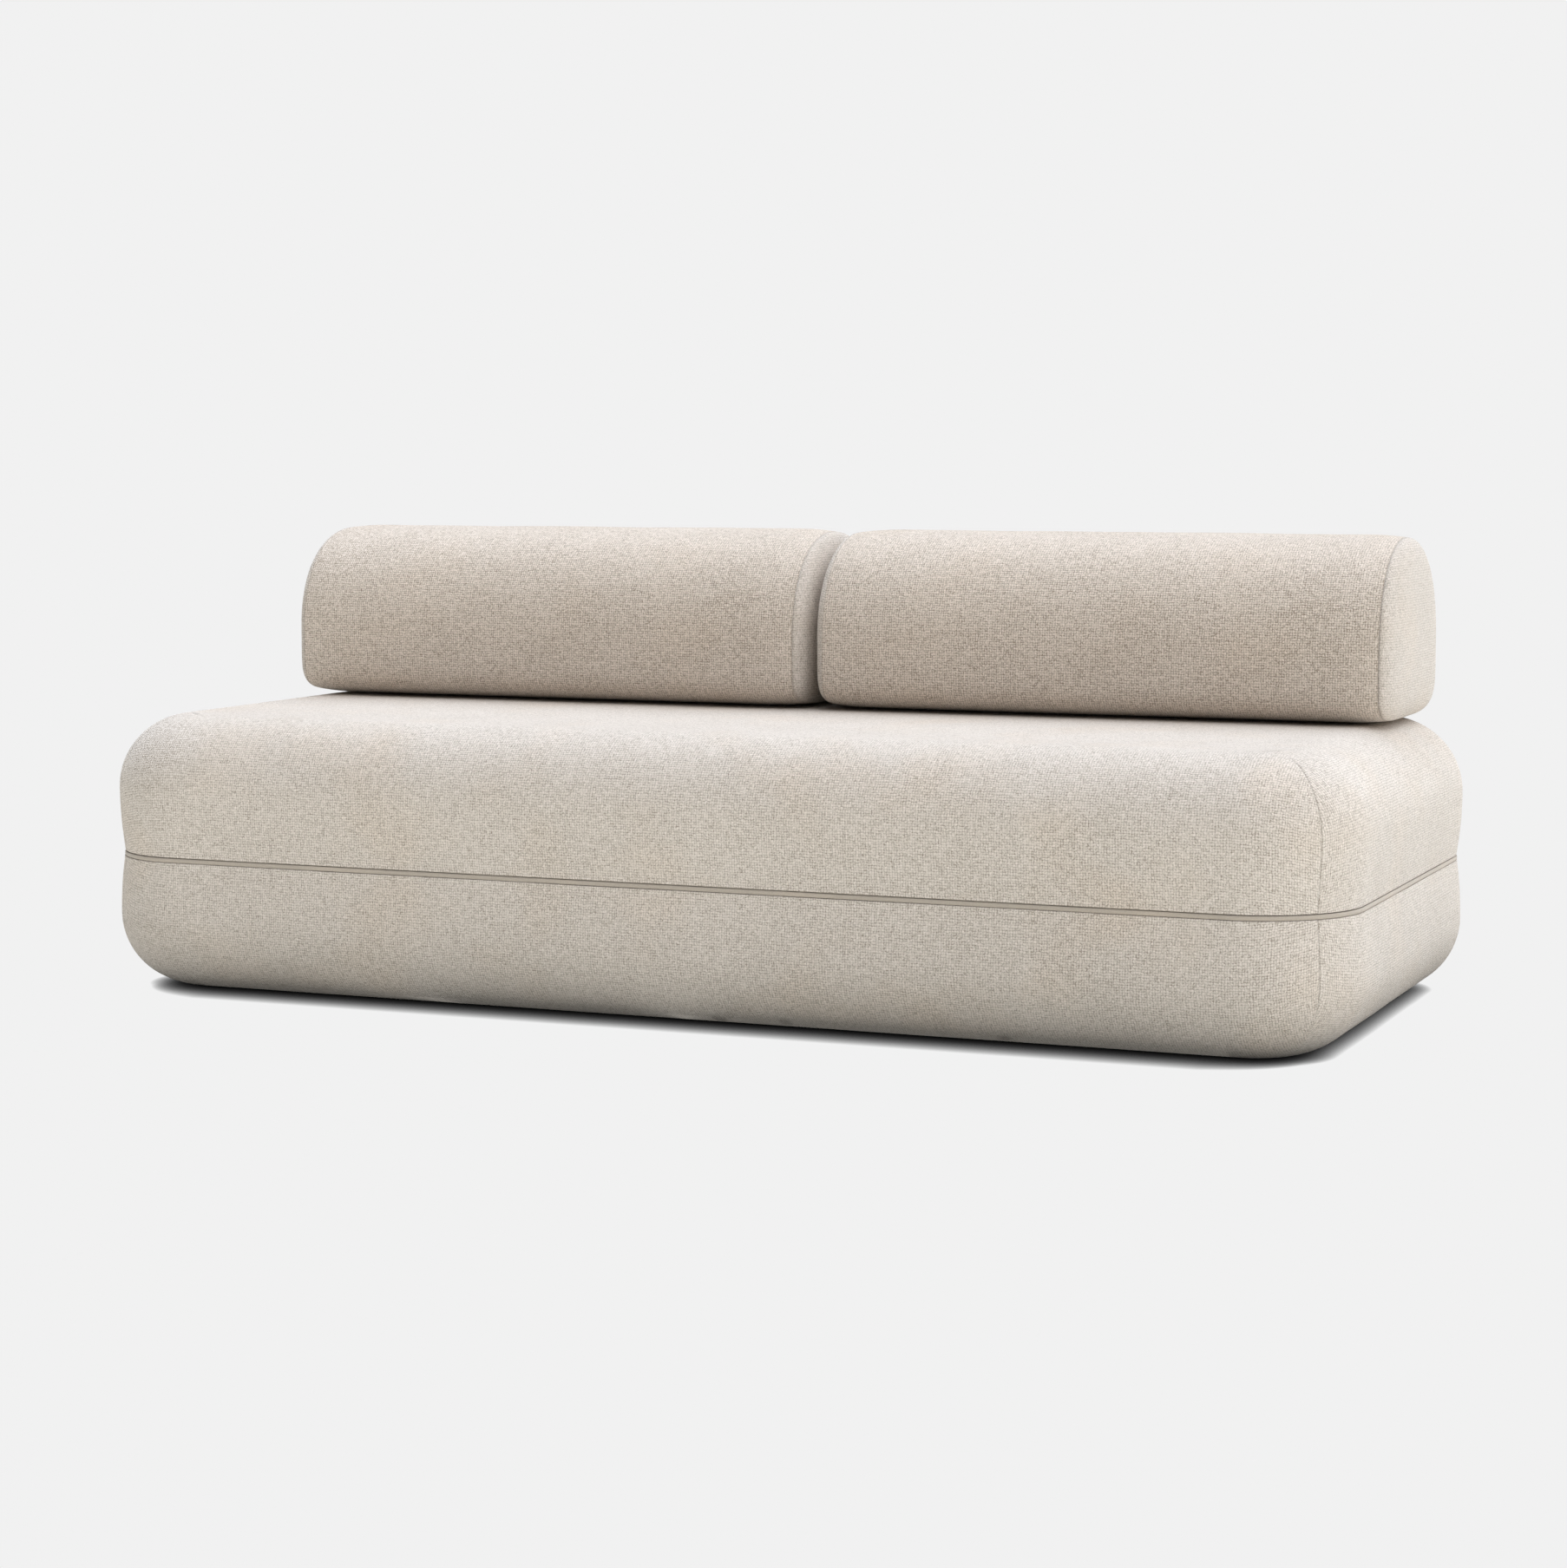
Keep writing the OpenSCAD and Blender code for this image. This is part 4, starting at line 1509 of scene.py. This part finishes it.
    def end_panel(self, side: int) -> bpy.types.Object:
        """Make a domed end panel.

        Args:
            side: -1 for the bolster's left end, 1 for its right end.

        Returns:
            The panel.
        """
        s = self.sizes
        angle = self.angles()
        deep, high = self.section(s.draw + self.groove / 2, angle)
        seam = np.stack([deep, high], -1)
        centre = seam.mean(0)
        even = np.linspace(self.even_share, 0.0, self.even_shares + 1)
        shares = np.concatenate([self.panel_shares, even])
        flat = centre + shares[:, None, None] * (seam - centre)[None]
        out = s.half + s.rest_gap + self.dome_rise(shares) * (s.dome - s.rest_gap)
        points = np.roll(with_rows(flat, side * out), 1, -1)
        seed = self.panel_seed + side + 3 * self.hand.value
        calm = ease(self.dish_share * (1 - shares))[:, None] * ease(points[..., 2] / self.rest_calm)
        points[..., 0] -= side * self.dish * (1 + gentle(points, self.dish_length, seed)) * calm
        reach = np.linalg.norm(seam - centre, axis=1)
        steps = np.hypot(-np.diff(shares)[:, None] * reach, -np.diff(out)[:, None])
        arc = np.concatenate([np.cumsum(steps[::-1], axis=0)[::-1], np.zeros((1, len(reach)))])
        cloth = (arc[..., None] * ((seam - centre) / reach[:, None])[None])[..., ::-1]
        seamed = bell(1 - shares, self.panel_seam_share)[:, None]
        mark = np.broadcast_to(self.seam_shade * seamed, points.shape[:2])
        draft = MeshDraft()
        draft.grid(points + self.middle, cloth, closed=True, seam=mark)
        where = "outer" if side == self.hand.value else "inner"
        piece = draft.build(f"{self.body}_{where}_end_cloth", thickness=s.fabric)
        if piece.data.polygons[-1].normal.x * side < 0:
            piece.data.flip_normals()
        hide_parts(f"{self.body}_{where}_end")
        return Finishes.PANEL.dress(piece)

    def rings(self, depth: float, reach: float) -> list[Array]:
        """Sections of a hidden layer from one end seam to the other.

        Args:
            depth: How deep the layer lies.
            reach: Distance of its last section from the middle.

        Returns:
            The rings.
        """
        s = self.sizes
        angle = np.linspace(0, 2 * math.pi, self.hidden_round_steps + 1)[:-1]
        even = np.linspace(s.draw_run - reach, reach - s.draw_run, self.hidden_steps + 1)
        places = np.concatenate([[-reach, s.draw_run / 2 - reach], even,
                                 [reach - s.draw_run / 2, reach]])
        rings = []
        for place in places:
            draw = s.draw * np.clip(1 - (reach - abs(place)) / s.draw_run, 0, 1)
            rings.append(np.stack([np.full_like(angle, place),
                                   *self.section(depth + draw, angle)], -1))
        return rings

    def filling(self) -> list[bpy.types.Object]:
        """Make the wadding wrap and the foam core."""
        s = self.sizes
        out = s.fabric + s.layer_gap
        made = []
        outer = self.rings(out, s.half)
        inner = self.rings(out + s.wadding, s.half)
        core = self.rings(out + s.wadding + s.layer_gap, s.half)
        end_depth = out + s.wadding + s.layer_gap
        tip = s.dome - end_depth
        for sign, ring in ((-1, core[0]), (1, core[-1])):
            centre = ring.mean(0)
            dome = []
            for share in self.hidden_shares:
                rise = self.dome_rise(share) * tip
                dome.append(centre + share * (ring - centre) + [sign * rise, 0, 0])
            core = list(reversed(dome)) + core if sign < 0 else core + dome
        wadding = outer + list(reversed(inner)) + [outer[0]]
        for rows, node, finish in ((wadding, "wadding", Finishes.WADDING),
                                   (core, "core", Finishes.COMFORT)):
            points = np.array(rows) + self.middle
            draft = MeshDraft()
            draft.grid(points, points[..., :2], closed=True)
            piece = draft.build(f"{self.body}_{node}_fill")
            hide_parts(f"{self.body}_{node}")
            made.append(finish.dress(piece))
        return made

    def grip_mat(self) -> bpy.types.Object:
        """Make the thin mat that keeps the bolster from sliding."""
        s = self.sizes
        wide, deep, thick = s.mat
        middle = self.middle - [0, 0, s.rest_gap + thick]
        radius = s.mat_corner
        turns = np.linspace(0, math.pi / 2, self.mat_turns + 1)
        outline = []
        for quarter, (sx, sy) in enumerate(((1, 1), (-1, 1), (-1, -1), (1, -1))):
            for turn in turns:
                angle = quarter * math.pi / 2 + turn
                outline.append((sx * (wide / 2 - radius) + radius * math.cos(angle),
                                sy * (deep / 2 - radius) + radius * math.sin(angle)))
        outline = np.array(outline)
        rows = []
        for share, high in ((0.0, 0.0), (0.5, 0.0), (1.0, 0.0), (1.0, thick), (0.5, thick),
                            (0.0, thick)):
            ring = outline * share
            rows.append(np.concatenate([ring, np.full((len(ring), 1), high)], -1))
        points = np.array(rows) + middle
        draft = MeshDraft()
        draft.grid(points, points[..., :2], closed=True)
        piece = draft.build(f"{self.body}_grip_mat")
        piece.data.polygons.foreach_set("use_smooth", np.zeros(len(piece.data.polygons), bool))
        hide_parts(f"{self.body}_mat")
        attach(piece, f"{self.body}_mat")
        return Finishes.MAT.dress(piece)

    def make(self) -> list[bpy.types.Object]:
        """Make every piece of the bolster and its mat.

        Returns:
            The pieces.
        """
        made = [self.wrap(), self.end_panel(-1), self.end_panel(1), *self.filling()]
        for piece in made:
            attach(piece, self.body)
        return [*made, self.grip_mat()]


# The zips


@dataclass(frozen=True)
class ZipSizes:
    """Sizes of a zip, in metres, out of the face that it lies on."""

    tape_width: float = 0.020
    tape: float = 0.0008
    teeth_width: float = 0.006
    teeth: float = 0.0014
    pitch: float = 0.003
    slider: float = 0.012
    wall: float = 0.001
    slide_gap: float = 0.0002
    rest_gap: float = 0.0003
    stop: float = 0.003
    stop_extra: float = 0.0004
    pull: Triple = (0.026, 0.001, 0.004)
    pin: float = 0.0006
    pin_gap: float = 0.00005
    eye_wall: float = 0.0005
    lug: float = 0.0012
    lug_gap: float = 0.0002
    pin_out: float = 0.005305
    tape_step: float = 0.005
    tape_slack: float = 0.0003
    tape_shares: tuple[float, ...] = (0, 0.36, 0.5, 0.86, 0.97, 1)
    selvage: float = 0.0002
    selvage_share: float = 0.99
    ripple: float = 0.0001
    ripple_length: float = 0.02
    ripple_seed: float = 31.0
    tooth_share: float = 0.46
    tooth_reach: float = 0.0034
    tooth_aside: float = 0.0013
    flange_share: float = 0.9
    flange_back: float = 0.0003
    nose_taper: float = 0.22
    eye_turns: int = 24
    eye_round: float = 0.0001
    eye_flat: float = 0.9
    eye_overlap: float = 0.8
    neck: float = 0.62
    neck_end: float = 0.004
    neck_run: float = 0.012

    @property
    def teeth_out(self) -> float:
        """Where the teeth begin."""
        return self.rest_gap + self.tape

    @property
    def channel_out(self) -> float:
        """Where the slider's plate begins."""
        return self.teeth_out + self.teeth + self.slide_gap

    @property
    def slider_width(self) -> float:
        """Width of the slider."""
        return self.teeth_width + 2 * (self.slide_gap + self.wall)

    @property
    def lug_middle(self) -> float:
        """Distance of each lug from the slider's middle."""
        return self.pull[2] / 2 + self.lug_gap + self.lug / 2

    @property
    def eye(self) -> float:
        """Outer radius of the pull's eye."""
        return self.pin + self.pin_gap + self.eye_wall


@dataclass
class Zip:
    """A zip on the back of a cover, with a slider and its pull tab."""

    owner: str
    length: float
    middle: Triple
    lean: float = 0.0
    sizes: ZipSizes = field(default_factory=ZipSizes)

    @classmethod
    def on_block(cls, turn: Turn) -> Zip:
        """Lay a zip on the flat band of a block's back."""
        s = BlockSizes()
        inset, height, lean = s.zip_band(turn is Turn.BASE)
        low = s.floor_clear + height
        if turn is Turn.BASE:
            return cls(turn.value, s.zip, (0, s.depth / 2 - inset, low), lean)
        return cls(turn.value, s.zip, (0, s.depth / 2 - inset, 2 * s.fold_height - low), -lean)

    @classmethod
    def on_bolster(cls, hand: Hand) -> Zip:
        """Lay a zip on the waist of a bolster's back."""
        s = BolsterSizes()
        across = hand.value * (s.length + s.spacing) / 2
        return cls(f"{hand.name.lower()}_bolster", s.zip,
                   (across, s.setback + s.depth / 2, s.base + s.waist))

    @property
    def slider_place(self) -> float:
        """Where the closed slider stands, from the middle of the zip."""
        s = self.sizes
        return (s.slider - self.length) / 2 + s.stop + s.slide_gap

    def set_on_face(self, points: Array, upright: bool = False) -> Array:
        """Turn places along the zip, out of the face and up into places in the room.

        Args:
            points: The places.
            upright: Whether they keep clear of the face's lean.

        Returns:
            The places in the room.
        """
        lean = 0.0 if upright else self.lean
        out, up = points[..., 1], points[..., 2]
        turned = np.stack([points[..., 0], out * math.cos(lean) - up * math.sin(lean),
                           out * math.sin(lean) + up * math.cos(lean)], -1)
        return turned + np.array(self.middle)

    def finish(self, draft: MeshDraft, part: str, finish: Finish, body: str,
               thickness: float = 0.0) -> bpy.types.Object:
        """Make one part of the zip.

        Args:
            draft: Its grids.
            part: Which part it is.
            finish: Its finish.
            body: The CAD body that it rides on.
            thickness: Thickness of an open skin.

        Returns:
            The part.
        """
        piece = draft.build(f"{self.owner}_zip_{part}_detail", thickness, FINE_WELD)
        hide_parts(f"{self.owner}_zip_{part}")
        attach(piece, body)
        return finish.dress(piece)

    def tape(self) -> bpy.types.Object:
        """Make the ribbed tape that the teeth are sewn to."""
        s = self.sizes
        x = np.linspace(-self.length / 2, self.length / 2, round(self.length / s.tape_step) + 1)
        half = s.tape_width / 2
        up = np.array([*(-share for share in s.tape_shares[:0:-1]), *s.tape_shares]) * half
        points = np.zeros((len(x), len(up), 3))
        points[..., 0] = x[:, None]
        points[..., 2] = up[None]
        edge = np.abs(up[None]) / half
        points[..., 1] = s.teeth_out - s.selvage * (edge > s.selvage_share)
        wave = 1 + gentle(points, s.ripple_length, s.ripple_seed)
        points[..., 1] -= s.ripple * wave * ease(edge * 2 - 1)
        draft = MeshDraft()
        draft.grid(self.set_on_face(points), points[..., ::2])
        piece = self.finish(draft, "tape", Finishes.TAPE, self.owner, s.tape - s.tape_slack)
        if piece.data.polygons[0].normal.y < 0:
            piece.data.flip_normals()
        return piece

    def teeth(self) -> bpy.types.Object:
        """Make two rows of interlocking teeth with a stop at each end."""
        s = self.sizes
        draft = MeshDraft()
        out = s.teeth_out + s.teeth / 2
        count = int((self.length - 2 * s.stop) / s.pitch)
        for row in (-1, 1):
            for k in range(count):
                along = s.pitch * (k - count / 2 + (2 + row) / 4)
                tooth = soft_bar((s.pitch * s.tooth_share, s.teeth, s.tooth_reach),
                                 (along, out, row * s.tooth_aside),
                                 ends=4.0, section=3.0, rings=5, sides=8, axis=2)
                draft.grid(self.set_on_face(tooth), tooth[..., ::2], closed=True)
        for end in (-1, 1):
            stop = soft_bar((s.stop, s.teeth + s.stop_extra, s.slider_width),
                            (end * (self.length - s.stop) / 2, out + s.stop_extra / 2, 0))
            draft.grid(self.set_on_face(stop), stop[..., ::2], closed=True)
        return self.finish(draft, "teeth", Finishes.TEETH, self.owner)

    def slider(self) -> bpy.types.Object:
        """Make the slider with its flanges, its two lugs and the pin."""
        s = self.sizes
        draft = MeshDraft()
        plate = soft_bar((s.slider, s.wall, s.slider_width),
                         (0, s.channel_out + s.wall / 2, 0),
                         ends=7.0, section=6.0, rings=12, sides=20)
        nose = np.clip(plate[..., 0] / (s.slider / 2), 0, 1) ** 2
        plate[..., 2] *= 1 - s.nose_taper * nose
        parts = [(plate, False)]
        low = s.teeth_out + s.slide_gap
        high = s.channel_out + s.wall
        for side in (-1, 1):
            place = side * (s.slider_width - s.wall) / 2
            parts.append((soft_bar((s.slider * s.flange_share, high - low, s.wall),
                                   (-s.flange_back, (low + high) / 2, place), ends=6.0), False))
            root = s.channel_out + s.wall / 2
            tip = s.pin_out + s.eye
            parts.append((soft_bar((2 * s.eye, tip - root, s.lug),
                                   (0, (root + tip) / 2, side * s.lug_middle),
                                   section=3.5), True))
        parts.append((soft_bar((2 * s.pin, 2 * s.pin, 2 * s.lug_middle), (0, s.pin_out, 0),
                               ends=12.0, section=2.0, rings=6, axis=2), True))
        for points, upright in parts:
            points[..., 0] += self.slider_place
            draft.grid(self.set_on_face(points, upright), points[..., ::2], closed=True)
        return self.finish(draft, "slider", Finishes.METAL, f"{self.owner}_zip_slider")

    def pull(self) -> bpy.types.Object:
        """Make the pull tab with the eye that turns on the pin."""
        s = self.sizes
        draft = MeshDraft()
        turns = np.linspace(0, 2 * math.pi, s.eye_turns + 1)[:-1]
        inner, outer, half = s.eye - s.eye_wall, s.eye, s.pull[2] / 2
        flat, near, far = s.eye_flat, inner + s.eye_round, outer - s.eye_round
        loop = np.array([(inner, -flat), (inner, flat), (near, 1), (far, 1), (outer, flat),
                         (outer, -flat), (far, -1), (near, -1), (inner, -flat)])
        eye = np.stack([loop[:, :1] * np.cos(turns), s.pin_out + loop[:, :1] * np.sin(turns),
                        loop[:, 1:] * half * np.ones_like(turns)], -1)
        root = outer * s.eye_overlap
        reach = s.pull[0] - root
        tab = soft_bar((reach, s.pull[1], s.pull[2]), (root + reach / 2, s.pin_out, 0),
                       ends=7.0, section=4.0, rings=16)
        tab[..., 2] *= s.neck + (1 - s.neck) * ease((tab[..., 0] - s.neck_end) / s.neck_run)
        for points in (eye, tab):
            points[..., 0] += self.slider_place
            draft.grid(self.set_on_face(points, upright=True), points[..., ::2], closed=True)
        return self.finish(draft, "pull", Finishes.METAL, f"{self.owner}_zip_pull")

    def make(self) -> list[bpy.types.Object]:
        """Make the zip's parts.

        Returns:
            The pieces.
        """
        return [self.tape(), self.teeth(), self.slider(), self.pull()]


# The studio


def bearing(azimuth: float, elevation: float) -> Vector:
    """Turn degrees to the right of the front and degrees up into a direction."""
    turn, rise = math.radians(azimuth), math.radians(elevation)
    return Vector((math.sin(turn) * math.cos(rise), -math.cos(turn) * math.cos(rise),
                   math.sin(rise)))


@dataclass(frozen=True)
class Lamp:
    """A broad soft lamp far away, with its direction and spread in degrees."""

    name: str
    azimuth: float
    elevation: float
    strength: float
    colour: Rgb
    spread: float = 60.0
    away: float = 6.0

    def hang(self) -> None:
        """Hang the lamp, so that it shines on the object."""
        light = bpy.data.lights.new(self.name, "SUN")
        light.angle = math.radians(self.spread)
        light.energy = self.strength
        light.color = self.colour
        lamp = bpy.data.objects.new(self.name, light)
        towards = bearing(self.azimuth, self.elevation)
        lamp.location = self.away * towards
        lamp.rotation_euler = (-towards).to_track_quat("-Z", "Y").to_euler()
        bpy.context.scene.collection.objects.link(lamp)


@dataclass
class Studio:
    """A pale floor, soft lights and the camera."""

    pale: float = 0.8796
    sky: float = 0.10
    bounce: float = 1.45
    warmth: Rgb = (1.0, 1.0, 0.96)
    bounce_reach: float = 0.30
    bounce_power: float = 2.8
    bounce_samples: int = 4
    contact: float = 0.023
    front_contact: float = 0.052
    contact_power: float = 1.6
    contact_samples: int = 16
    shadow_ahead: tuple[float, float] = (-16.0, -5.3)
    shadow_across: tuple[float, float] = (-8.0, 7.4)
    floor_reach: float = 30.0
    focal: float = 78.07
    yaw: float = 22.481
    pitch: float = 5.6414
    distance: float = 5.3578
    target: Triple = (-0.0059, 0.0, 0.3183)
    film: float = 36.0
    far: float = 100.0
    lamps: tuple[Lamp, ...] = (Lamp("key", 68, 50, 1.64, (1.0, 1.0, 1.03)),
                               Lamp("top", 0, 90, 0.52, (1.0, 1.0, 1.04)),
                               Lamp("back", 180, 65, 2.80, (0.93, 1.0, 1.10)))

    def floor(self) -> None:
        """Lay the floor, which looks pale and carries the object's painted contact shadow."""
        draft = MeshDraft()
        x = np.linspace(-self.floor_reach, self.floor_reach, 3)
        grid = np.stack(np.meshgrid(x, x), -1)
        points = np.concatenate([grid, np.zeros((3, 3, 1))], -1)
        draft.grid(points, grid)
        floor = draft.build("studio_floor")
        floor.data.materials.append(self.floor_material())

    def contact_reach(self, sketch: NodeSketch) -> object:
        """How far the contact shadow reaches: furthest along the front of the sofa.

        shadow_ahead and shadow_across hold the slope and the start of the front's share,
        which grows ahead of the sofa and ends at its corners.

        Args:
            sketch: The floor material's nodes.

        Returns:
            The distance at each place on the floor.
        """
        place = sketch.node("ShaderNodeTexCoord").outputs["Object"]
        x, y, _ = sketch.split(place)
        ahead = sketch.line(y, *self.shadow_ahead, clamp=True)
        across = sketch.line(sketch.size(x), *self.shadow_across, clamp=True)
        return sketch.line(sketch.times(ahead, across), self.front_contact - self.contact,
                           self.contact)

    def floor_material(self) -> bpy.types.Material:
        """Make the floor's material: pale, with painted shadow where the object meets it."""
        made = bpy.data.materials.new("studio_floor")
        made.use_nodes = True
        sketch = NodeSketch(made.node_tree)
        glows = []
        # The first glow is what the camera sees, with painted contact shadow; the second is painted
        # bounce light for the object, painted darker near it.
        for reach, power, level, samples in (
                (self.contact_reach(sketch), self.contact_power, self.pale, self.contact_samples),
                (self.bounce_reach, self.bounce_power, self.bounce, self.bounce_samples)):
            near = sketch.node("ShaderNodeAmbientOcclusion", samples=samples)
            sketch.feed(near.inputs["Distance"], reach)
            glow = sketch.node("ShaderNodeEmission")
            open_share = sketch.math("POWER", near.outputs["AO"], power)
            sketch.feed(glow.inputs["Strength"], sketch.times(open_share, level))
            glows.append(glow)
        glows[1].inputs["Color"].default_value = (*self.warmth, 1)
        self.show(sketch, glows[1], glows[0], "ShaderNodeOutputMaterial")
        return made

    @staticmethod
    def show(sketch: NodeSketch, light: bpy.types.Node, look: bpy.types.Node,
             kind: str) -> None:
        """Light the object with one shader and show the camera another.

        Args:
            sketch: Nodes of a material or of the world.
            light: The shader that lights the object.
            look: The shader seen by the camera, straight, mirrored or through something.
            kind: Kind of the output node.
        """
        path = sketch.node("ShaderNodeLightPath")
        mirrored = sketch.math("MAXIMUM", path.outputs["Is Glossy Ray"],
                               path.outputs["Is Transmission Ray"])
        seen = sketch.math("MAXIMUM", path.outputs["Is Camera Ray"], mirrored)
        mixed = sketch.node("ShaderNodeMixShader")
        for socket, value in zip(mixed.inputs, (seen, light.outputs[0], look.outputs[0])):
            sketch.feed(socket, value)
        sketch.feed(sketch.node(kind).inputs[0], mixed.outputs[0])

    def world(self) -> None:
        """Light the room evenly, and show the camera the pale background."""
        world = bpy.data.worlds.new("studio")
        bpy.context.scene.world = world
        world.use_nodes = True
        sketch = NodeSketch(world.node_tree)
        light = sketch.node("ShaderNodeBackground")
        light.inputs[0].default_value = (*self.warmth, 1)
        light.inputs[1].default_value = self.sky
        look = sketch.node("ShaderNodeBackground")
        look.inputs[0].default_value = (self.pale, self.pale, self.pale, 1)
        self.show(sketch, light, look, "ShaderNodeOutputWorld")

    def camera(self) -> None:
        """Stand the camera where the photograph was taken from."""
        back = bearing(self.yaw, self.pitch)
        data = bpy.data.cameras.new("camera")
        data.lens = self.focal
        data.sensor_width = self.film
        data.sensor_fit = "AUTO"
        data.clip_end = self.far
        camera = bpy.data.objects.new("camera", data)
        camera.location = Vector(self.target) + back * self.distance
        camera.rotation_euler = (-back).to_track_quat("-Z", "Y").to_euler()
        bpy.context.scene.collection.objects.link(camera)
        bpy.context.scene.camera = camera

    def make(self) -> None:
        """Set up the whole studio."""
        self.camera()
        self.floor()
        self.world()
        for lamp in self.lamps:
            lamp.hang()
        bpy.context.scene.view_settings.view_transform = "Standard"


def corners(box: tuple[Vector, Vector]) -> list[list[float]]:
    """Turn a box into plain lists."""
    return [[float(value) for value in corner] for corner in box]


def main() -> None:
    """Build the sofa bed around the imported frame."""
    logging.basicConfig(level=logging.INFO, format="%(name)s: %(message)s")
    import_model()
    Studio().make()
    assemblies = [FoamBlock(Turn.BASE), FoamBlock(Turn.SEAT), FoldHinge(),
                  Bolster(Hand.LEFT), Bolster(Hand.RIGHT),
                  *(Zip.on_block(turn) for turn in Turn),
                  *(Zip.on_bolster(hand) for hand in Hand)]
    for assembly in assemblies:
        for piece in assembly.make():
            LOG.info("%s: %d faces", piece.name, len(piece.data.polygons))


if __name__ == "__main__":
    main()
